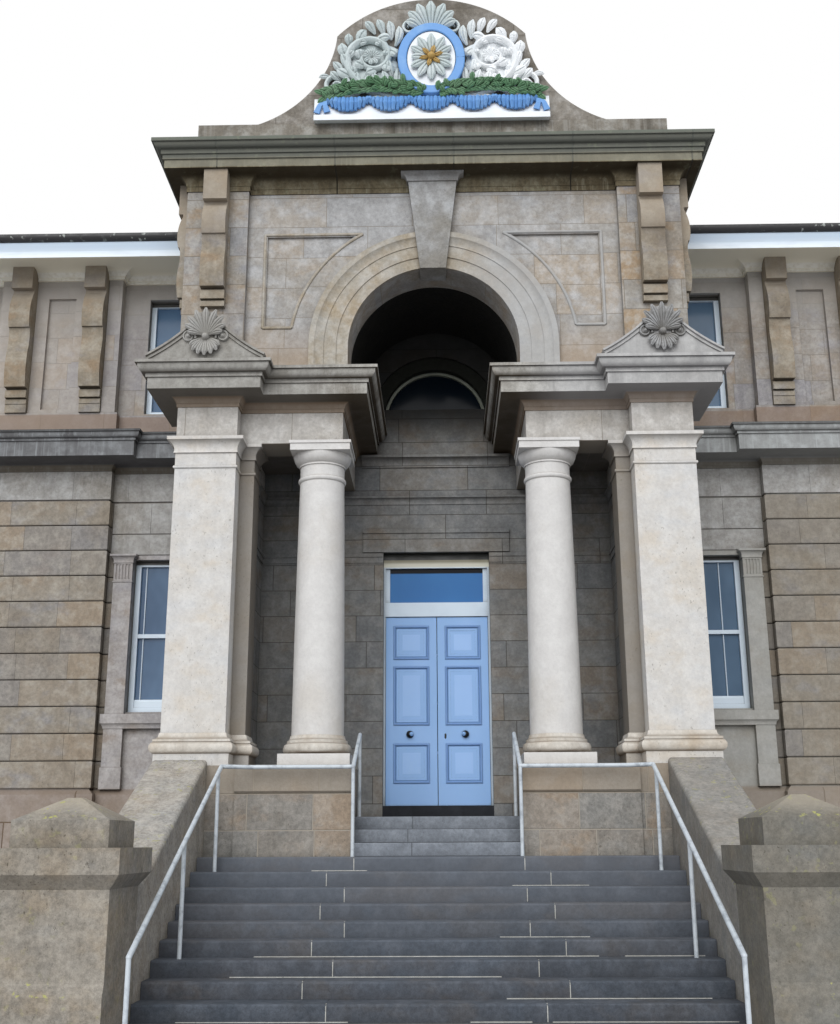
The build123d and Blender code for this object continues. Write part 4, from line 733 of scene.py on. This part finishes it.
LEAF = [(-1, 0.0), (-0.55, 0.7), (-0.12, 0.62), (0, 1.0), (0.12, 0.62), (0.55, 0.7), (1, 0.0), (0, -0.4)]


def leaf(root, angle, length, width, depth, thick, bend=0.0, lift=0.03, blunt=False):
    """Leaf with a raised rib, from its root along an angle, curving sideways and forward."""
    swell = (0.3, 0.55, 0.8, 1.0, 0.95, 0.35) if blunt else (0.25, 0.62, 0.9, 1.0, 0.78, 0.08)
    line = []
    x, z = root
    turn = math.radians(angle)
    for n in range(6):
        line.append((x, z, depth - lift * math.sin(math.pi * 0.6 * n / 5)))
        x += length / 5 * math.cos(turn)
        z += length / 5 * math.sin(turn)
        turn += math.radians(bend) / 5
    return trail(line, [(a * width / 2, b * thick) for a, b in LEAF], swell)


def fan(piece, side, half, root, apart, up, length, less, width, depth, thick, bend, lift):
    """Fan of blunt leaves, the outer ones shorter and more bent. It opens up, or down where up is -1."""
    for n in range(-half, half + 1):
        piece.take(leaf((root[0] + apart * n, root[1]), up * (90 - 19 * n), length - less * n * n, width,
                        depth, thick, bend * n, lift, True), side)


# Stones of the wings

FRONT_LINE = PlanLine(
    (0, HOUSE_BACK), (HOUSE_HALF, HOUSE_BACK), (HOUSE_HALF, HOUSE_FRONT), (8.26, HOUSE_FRONT),
    (8.26, BAY_FRONT), (6.52, BAY_FRONT), (6.52, HOUSE_FRONT), (4.7, HOUSE_FRONT), (4.7, BAY_FRONT),
    (3.0, BAY_FRONT))
BACK_WINDOWS = [(0.0, 0.5), (3.315, 4.315), (6.89, 7.89)]
SIDE_WINDOWS = [(mark - 0.5, mark + 0.5) for mark in (11.58, 14.58, 17.58)]
BAYS_BELOW = [(21.92 - 0.77, 21.92 + 0.77), (25.025, 26.61)]
BAYS_ABOVE = [(21.09, 22.75), (24.95, 26.61)]
WINDOW_LOW, WINDOW_HIGH = 3.7, 5.86
COURSES, COURSE_FOOT, COURSE_HEIGHT = 11, 2.665, 0.3668


def course_section(low, high, proud, arris):
    """Face of a course with rounded upper and lower edges, as (reach, height)."""
    nick = arris * 0.3
    low += 0.003
    high -= 0.003
    return [
        (-0.02, low), (proud - arris, low), (proud - nick, low + nick), (proud, low + arris),
        (proud, high - arris), (proud - nick, high - nick), (proud - arris, high), (-0.02, high),
    ]


courses = Piece()
frieze = Piece()
for side in (1, -1):
    for n in range(COURSES):
        low = COURSE_FOOT + COURSE_HEIGHT * n
        high = low + COURSE_HEIGHT
        holes = list(BAYS_BELOW if n < COURSES - 2 else BAYS_ABOVE)
        if high > WINDOW_LOW and low < WINDOW_HIGH:
            holes += BACK_WINDOWS + SIDE_WINDOWS
        FRONT_LINE.lay(courses, side, course_section(low, high, 0.03, 0.02), holes, 0.62, 1.05)
    for left, right in ((8.216, 6.562), (4.656, 3.02)):
        bay = PlanLine((left, BAY_FRONT), (right, BAY_FRONT))
        for low, high, cuts in ((5.925, 6.235, (0, 0.9)), (6.235, 6.7, (0, 0.55, 1.1))):
            block = course_section(low, high, 0.02, 0.012)
            for start, stop in zip(cuts, cuts[1:] + (left - right,)):
                frieze.take(bay.solid(start + 0.002, stop - 0.002, block), side)
    FRONT_LINE.lay(frieze, side, course_section(6.712, 7.142, 0.028, 0.008), [], 0.9, 1.4)
    for start, stop in BACK_WINDOWS + SIDE_WINDOWS:
        courses.take(FRONT_LINE.solid(max(start - 0.08, 0.001), stop + 0.08, [
            (-0.02, 3.6), (0.05, 3.6), (0.07, 3.62), (0.07, 3.68), (0.055, 3.698), (-0.02, 3.698)]), side)
courses.show("wing_courses", course_stone)
frieze.show("wing_frieze", frieze_stone)


# Stair stones and their mortar

OUTER_RISERS, RISER, TREAD, STAIR_HALF = 12, 0.15, 0.321, 2.663

steps = Piece()
joints = Piece()
for n in range(OUTER_RISERS):
    front = -TREAD * n
    top = RISER * OUTER_RISERS - RISER * n
    low = 0.0 if n == OUTER_RISERS - 1 else top - RISER + 0.0003
    back = 0.328 if n == 0 else front + 0.39
    cut = 0.94 if n % 2 == 0 else 1.21
    cuts = [-STAIR_HALF, -cut + dice.uniform(-0.03, 0.03), cut + dice.uniform(-0.03, 0.03), STAIR_HALF]
    for x0, x1 in zip(cuts, cuts[1:]):
        worn = dice.uniform(0.013, 0.022)
        nose = front + dice.uniform(0.0, 0.004)
        steps.take(across(x0 + 0.0015, x1 - 0.0015, [
            (nose, low), (nose, top - worn), (nose + worn * 0.3, top - worn * 0.3), (nose + worn, top),
            (back, top), (back, low)]))
    for x in cuts[1:3]:
        joints.take(across(x - 0.0045, x + 0.0045, [
            (front - 0.0015, top - 0.148), (front - 0.0015, top - 0.02), (front + 0.02, top + 0.001),
            (front + 0.05, top + 0.001), (front + 0.05, top - 0.148)]))
    if n:
        foot = front + TREAD
        x = -2.6 + dice.uniform(0, 0.8)
        while x < 2.4:
            reach = dice.uniform(0.15, 0.9)
            if dice.random() < (0.7 if n > 5 else 0.06):
                joints.take(across(x, min(x + reach, 2.6), [
                    (foot - 0.006, top - 0.001), (foot - 0.004, top + 0.005), (foot + 0.004, top + 0.009),
                    (foot + 0.004, top - 0.001)]))
            x += reach
steps.show("step_stones", step_stone, hides=["main_steps"])
joints.show("step_joints", mortar)


# Bars and bottom rails of the lower windows

bars = Piece()
WINDOW_PLACES = (3.815, 7.39, -3.815, -7.39)
WINDOW_HALF, SASH_FACE = 0.425, 2.978
middle = (WINDOW_LOW + WINDOW_HIGH) / 2
for z0, z1 in ((WINDOW_LOW + 0.07, middle - 0.02), (middle + 0.02, WINDOW_HIGH - 0.07)):
    for x in WINDOW_PLACES:
        for shift in (-0.35, 0.35 if x < 0 else 0.21):
            bars.take(trail([(x + shift, z0, SASH_FACE), (x + shift, z1, SASH_FACE)], [
                (-0.008, 0), (-0.008, 0.012), (-0.004, 0.018), (0.004, 0.018), (0.008, 0.012), (0.008, 0)]))
for x in WINDOW_PLACES:
    bars.take(across(x - WINDOW_HALF, x + WINDOW_HALF, [
        (2.942, 3.702), (2.942, 3.86), (2.95, 3.885), (2.976, 3.892), (2.976, 3.702)]))
bars.show("window_bars", white_paint)


# Base mouldings of piers and columns

bases = Piece()
PIER_LINE = PlanLine((3.0, 1.185), (3.243, 1.185), (3.243, 0.42), (2.478, 0.42), (2.478, 0.75),
                     (2.298, 0.75), (2.298, 1.185))
for side in (1, -1):
    bases.take(PIER_LINE.solid(0.0, PIER_LINE.marks[-1], [
        (-0.02, 2.956), (0.062, 2.956), (0.09, 2.972), (0.108, 3.006), (0.108, 3.044), (0.09, 3.078),
        (0.066, 3.094), (0.074, 3.096), (0.074, 3.122), (0.046, 3.13), (0.024, 3.152), (0.012, 3.2),
        (-0.02, 3.2)]), side)
    bases.take(turned([
        (0, 2.966), (0.372, 2.966), (0.398, 2.982), (0.412, 3.012), (0.412, 3.048), (0.398, 3.082),
        (0.368, 3.1), (0.368, 3.104), (0.368, 3.13), (0.35, 3.138), (0.336, 3.16), (0.33, 3.19), (0, 3.19)],
        1.445, 0.92, 0, 48, (0, 0, 1)), side)
bases.show("base_mouldings", base_stone, smooth=35)


# Beads, rims and palmettes of the porch front

beads = Piece()
rims = Piece()
palms = Piece()
SPRING, RADIUS, FOOT, HEAD, EDGE, WALL = 8.19, 1.89, 0.285, 1.64, 2.25, 0.7
ends = [math.degrees(math.asin(rise / RADIUS)) for rise in (HEAD, FOOT)]
curve = arc((0, SPRING), RADIUS, *ends, 18, WALL)
foot, head = (EDGE, SPRING + FOOT, WALL), (EDGE, SPRING + HEAD, WALL)
for side in (1, -1):
    for line in ([foot, head], [head, curve[0]], curve, [foot, curve[-1]]):
        beads.take(trail(line, round_section(0.021)), side)
beads.show("spandrel_beads", warm_arch_stone, smooth=50)

PALM_X = 2.85
for side in (1, -1):
    for way in (1, -1):
        points = [(PALM_X + way * x, z) for x, z in ((0.735, 7.795), (0.515, 7.928), (0.205, 8.18))]
        rim = [(-0.03, -0.02), (-0.03, 0.02), (0.0, 0.02), (0.01, 0.045), (0.035, 0.045), (0.035, -0.3)]
        rims.take(trail(arc_through(*points, 14, 0.04), [(-way * a, b) for a, b in rim]), side)
        x, z = PALM_X + way * 0.213, 8.067
        start = 200 if way > 0 else -20
        palms.take(scroll((x, z), 0.088, 0.024, start, -1.9 * way, 30, 0.03, 0.019, 1.8)[1], side)
        palms.take(turned([(0, 0.06), (0.015, 0.054), (0.026, 0.028), (0.038, 0.0), (0, -0.02)],
                          x, 0.03, z, 14), side)
        palms.take(turned([(0, 0.026), (0.05, 0.02), (0.074, 0.0), (0, -0.02)], x, 0.04, z, 20), side)
    fan(palms, side, 4, (PALM_X, 8.09), 0.012, 1, 0.34, 0.0105, 0.085, 0.02, 0.038, -5, 0.06)
    fan(palms, side, 3, (PALM_X, 8.03), 0.02, -1, 0.235, 0.008, 0.075, 0.02, 0.032, -6, 0.045)
    palms.take(turned([(0, 0.08), (0.025, 0.072), (0.042, 0.045), (0.048, 0.0), (0, -0.02)],
                      PALM_X, 0.02, 8.055, 16), side)
rims.show("pediment_rims", cornice_stone, smooth=40)
palms.show("palmettes", key_stone, smooth=50)


# Painted relief in the gable: a rosette between leafy scrolls, laurel and a plain ribbon

FACE = 0.53
EYE = (0.82, 12.42)
ROSETTE_Z = 12.33
KNOT_X, KNOT_Z = 1.44, 11.69
scrolls = Piece()
for side in (1, -1):
    rise = arc_through((0.3, 11.78), (0.78, 11.86), (1.13, 12.2), 10, FACE - 0.05)
    stem = rise[:-1] + arc(EYE, 0.38, -35, -35 + 360 * 1.6, 34, FACE - 0.05, 0.05)
    sizes = [0.7 + 0.3 * min(n / 10, 1) - 0.6 * max(n - 10, 0) / 34 for n in range(len(stem))]
    scrolls.take(trail(stem, round_section(0.062, 8, 1.3), sizes), side)
    for n in range(3, 34, 3):
        x, z, depth = stem[n]
        length, ahead = 0.3 - 0.005 * n, heading(stem, n)
        scrolls.take(leaf((x, z), ahead - 48, length, 0.15, depth, 0.045, 38, 0.05), side)
        if n < 22:
            scrolls.take(leaf((x, z), ahead + 40, length * 0.6, 0.1, depth, 0.04, -34, 0.05), side)
    small, solid = scroll((1.32, 11.98), 0.2, 0.04, 180, -1.4, 22, FACE - 0.05, 0.04)
    scrolls.take(solid, side)
    for n in range(2, 15, 3):
        x, z, depth = small[n]
        scrolls.take(leaf((x, z), heading(small, n) + 50, 0.17, 0.09, depth, 0.035, -36, 0.04), side)
    for angle in range(10, 370, 45):
        scrolls.take(leaf(EYE, angle, 0.13, 0.075, FACE - 0.06, 0.03, blunt=True), side)
        scrolls.take(leaf(EYE, angle + 12, 0.37, 0.27, FACE, 0.025, 0, 0.012, True), side)
    for angle in (118, 74, 34):
        scrolls.take(leaf((1.08, 11.84), angle, 0.36, 0.24, FACE, 0.025, 0, 0.012, True), side)
    for x, z, angle, length, bend in (
            (0.5, 11.9, 108, 0.34, -30), (0.6, 11.9, 84, 0.3, -20), (0.72, 11.92, 64, 0.26, 20),
            (0.9, 11.9, 110, 0.24, -30), (1.02, 11.92, 78, 0.26, 30), (0.52, 12.1, 60, 0.28, 40),
            (0.5, 12.62, 120, 0.3, -50), (0.56, 12.72, 96, 0.28, -30), (0.66, 12.8, 76, 0.24, -20),
            (0.78, 12.82, 58, 0.22, -20), (1.16, 12.2, 84, 0.3, -26), (1.2, 12.14, 60, 0.26, -20),
            (1.24, 12.06, 34, 0.2, 20), (1.12, 12.62, 70, 0.18, 30)):
        scrolls.take(leaf((x, z), angle, length, 0.12, FACE - 0.03, 0.045, bend, 0.06), side)
fan(scrolls, 1, 3, (0, 12.86), 0.035, 1, 0.42, 0.018, 0.14, FACE - 0.04, 0.05, -7, 0.08)
for side in (1, -1):
    scrolls.take(scroll((0.3, 12.9), 0.13, 0.03, 200, -1.5, 22, FACE - 0.05, 0.032)[1], side)
scrolls.show("relief_scrolls", relief_grey, smooth=50)

blue = Piece()
turns = [math.tau * n / 40 for n in range(41)]
blue.take(trail([(0.4 * math.cos(turn), ROSETTE_Z + 0.5 * math.sin(turn), FACE - 0.15) for turn in turns], [
    (-0.062, -0.12), (-0.062, 0.012), (-0.05, 0.022), (0.05, 0.022), (0.062, 0.012), (0.062, -0.12)]))
for swag in (-2, -1, 0, 1, 2):
    for k in range(-5, 6):
        share = k / 5
        x = swag * 0.57 + 0.265 * share
        sag = 1 - share * share
        top = 11.735 - 0.045 * sag
        low = 11.635 - 0.145 * sag
        front = 0.385 - 0.05 * sag - 0.012 * (k % 2)
        fold = [(-0.034, -0.03), (-0.03, 0.012), (0.0, 0.034), (0.03, 0.012), (0.034, -0.03)]
        blue.take(trail([(x, top, front + 0.01), (x + 0.01 * share, (top + low) / 2, front - 0.012),
                         (x - 0.02 * share, low, front + 0.012)], fold, [0.9, 1.05, 0.75]))
for side in (1, -1):
    for angle, length in ((-62, 0.24), (-100, 0.2)):
        x = KNOT_X + 0.01 + length * math.cos(math.radians(angle))
        z = KNOT_Z + length * math.sin(math.radians(angle))
        line = [(KNOT_X, KNOT_Z, 0.37), ((KNOT_X + x) / 2 + 0.02, (KNOT_Z + z) / 2, 0.355), (x, z, 0.372)]
        blue.take(trail(line, [(-0.035, 0), (-0.03, 0.015), (0.03, 0.015), (0.035, 0)],
                        [0.7, 1.0, 1.35]), side)
board = Piece()
board.take(across(-1.6, 1.6, [(0.362, 11.372), (0.362, 11.455), (0.385, 11.46), (0.4, 11.38)]))
board.show("relief_board", relief_white)
blue.show("relief_ribbon", relief_blue, smooth=35)

laurel = Piece()
for side in (1, -1):
    stem = arc_through((0.04, 11.8), (0.75, 11.9), (1.5, 11.74), 24, FACE - 0.14)
    laurel.take(trail(stem, round_section(0.018, 6)), side)
    for n in range(1, 24):
        x, z, depth = stem[n]
        for way in (1, -1):
            laurel.take(leaf((x, z), 8 + way * 46 - n, 0.17, 0.08, depth - 0.01 * (n % 2), 0.028,
                             -way * 26), side)
        for _ in range(2):
            place = (x + dice.uniform(-0.03, 0.03), z - 0.02 + dice.uniform(-0.07, 0.06))
            laurel.take(leaf(place, dice.uniform(-60, 150), dice.uniform(0.1, 0.15), 0.075,
                             depth - dice.uniform(0.01, 0.05), 0.03, dice.uniform(-40, 40)), side)
laurel.show("relief_laurel", relief_green, smooth=50)

petals = Piece()
rosette = Piece()
for angle in range(0, 360, 30):
    reach = 0.27 + 0.09 * abs(math.sin(math.radians(angle)))
    petals.take(leaf((0, ROSETTE_Z), angle, reach, 0.12, FACE - 0.155, 0.04, lift=0.04, blunt=True))
for angle in range(15, 375, 60):
    rosette.take(leaf((0, ROSETTE_Z), angle, 0.17, 0.07, FACE - 0.185, 0.03))
rosette.take(turned([(0, 0.085), (0.03, 0.078), (0.055, 0.04), (0.062, 0.0), (0, -0.02)],
                    0, FACE - 0.18, ROSETTE_Z, 20))
petals.show("relief_petals", relief_grey, smooth=50)
rosette.show("relief_rosette", relief_gold, smooth=50)


# Doors: panel mouldings, knobs and a key plate

PANEL_LEFT, PANEL_RIGHT, PANEL_FACE, LEAF_FACE = 0.123, 0.6, 2.962, 2.95


def panel_corners(low, high, inset):
    """Corners of a door panel as (x, z, way in along x, way in along z)."""
    x0, x1, z0, z1 = PANEL_LEFT + inset, PANEL_RIGHT - inset, low + inset, high - inset
    return [(x0, z0, 1, 1), (x1, z0, -1, 1), (x1, z1, -1, -1), (x0, z1, 1, -1)]


for side, body in ((1, "door_leaf_right"), (-1, "door_leaf_left")):
    mouldings = Piece()
    fields = Piece()
    for low, high in ((2.738, 3.252), (3.523, 4.316), (4.436, 4.89)):
        fields.take(through([
            [(x, at(PANEL_FACE - proud), z) for x, z, _, _ in panel_corners(low, high, inset)]
            for inset, proud in ((0.098, -0.004), (0.1, 0.006), (0.118, 0.011))]), side)
        for inset, width, proud, face, sunk in (
                (-0.012, 0.034, 0.018, LEAF_FACE, -0.012), (0.056, 0.016, 0.01, PANEL_FACE, -0.002)):
            corners = panel_corners(low, high, inset)
            section = [(0, -0.002), (0, proud * 0.6), (width * 0.3, proud), (width * 0.6, proud),
                       (width, proud * 0.2), (width, sunk)]
            for ends in zip(corners, corners[1:] + corners[:1]):
                mouldings.take(through([[(x + sx * w, at(face - d), z + sz * w) for w, d in section]
                                        for x, z, sx, sz in ends]), side)
    mouldings.show(body + "_mouldings", shaded_moulding_blue, body)
    fields.show(body + "_fields", lit_field_blue, body)
    fittings = Piece()
    fittings.take(turned([(0, 0.062), (0.028, 0.058), (0.044, 0.044), (0.048, 0.03), (0.038, 0.014),
                          (0.02, 0.008), (0.02, 0.003), (0.05, 0.002), (0.052, -0.004), (0, -0.004)],
                         0.383, LEAF_FACE, 3.388, 28), side)
    if side > 0:
        fittings.take(trail([(0.108, z, LEAF_FACE) for z in (3.325, 3.345, 3.385, 3.4)],
                            round_section(0.014, 8, 0.4), [0.4, 1.0, 1.0, 0.4]))
    fittings.show(body + "_fittings", knob_metal, body, smooth=40)


# Slates, ridge and hips

ROOF_HALF, ROOF_FRONT, ROOF_BACK, ROOF_FOOT, ROOF_RISE, ROWS = 10.82, 1.91, 12.39, 10.33, 2.117, 22
ROOF_DEEP = (ROOF_BACK - ROOF_FRONT) / 2


def hip(sx, sy, share, lift=0.0):
    """Point on a hip, at a share of the way up the roof."""
    return Vector((sx * (ROOF_HALF - ROOF_DEEP * share),
                   at((ROOF_FRONT + ROOF_BACK) / 2 + sy * ROOF_DEEP * (1 - share)),
                   ROOF_FOOT + ROOF_RISE * share + lift))


def lay_caps(piece, foot, head, count, half, rise, sink):
    """Row of half round caps from one point of the roof to another."""
    run = (head - foot).normalized()
    flat = run.cross(Vector((0, 0, 1))).normalized()
    up = flat.cross(run)
    turns = [math.pi * k / 6 for k in range(7)]
    for n in range(count):
        ends = foot + (head - foot) * (n / count), foot + (head - foot) * ((n + 1) / count) - run * 0.006
        piece.take(through([[point + flat * math.cos(turn) * half + up * (math.sin(turn) * rise - sink)
                             for turn in turns] for point in ends]))


slates = Piece()
for n in range(ROWS):
    low, high = n / ROWS, (n + 1) / ROWS
    for way in (1, -1):
        for ends in (((-1, -way), (1, -way)), ((way, -1), (way, 1))):
            slates.take(through([[hip(*end, share, lift) for share, lift in (
                (low, 0.0), (low, 0.016), (high, 0.003), (high, 0.0))] for end in ends]))
slates.show("roof_slates", slate)

caps = Piece()
lay_caps(caps, hip(-1, 1, 1), hip(1, 1, 1), 26, 0.11, 0.07, 0.02)
for sx in (1, -1):
    for sy in (1, -1):
        lay_caps(caps, hip(sx, sy, 0), hip(sx, sy, 1), 20, 0.1, 0.06, 0.005)
caps.show("ridge_caps", slate, smooth=50)

bpy.context.scene.view_settings.view_transform = "Standard"
aim_camera()
light_scene()
lay_floor()
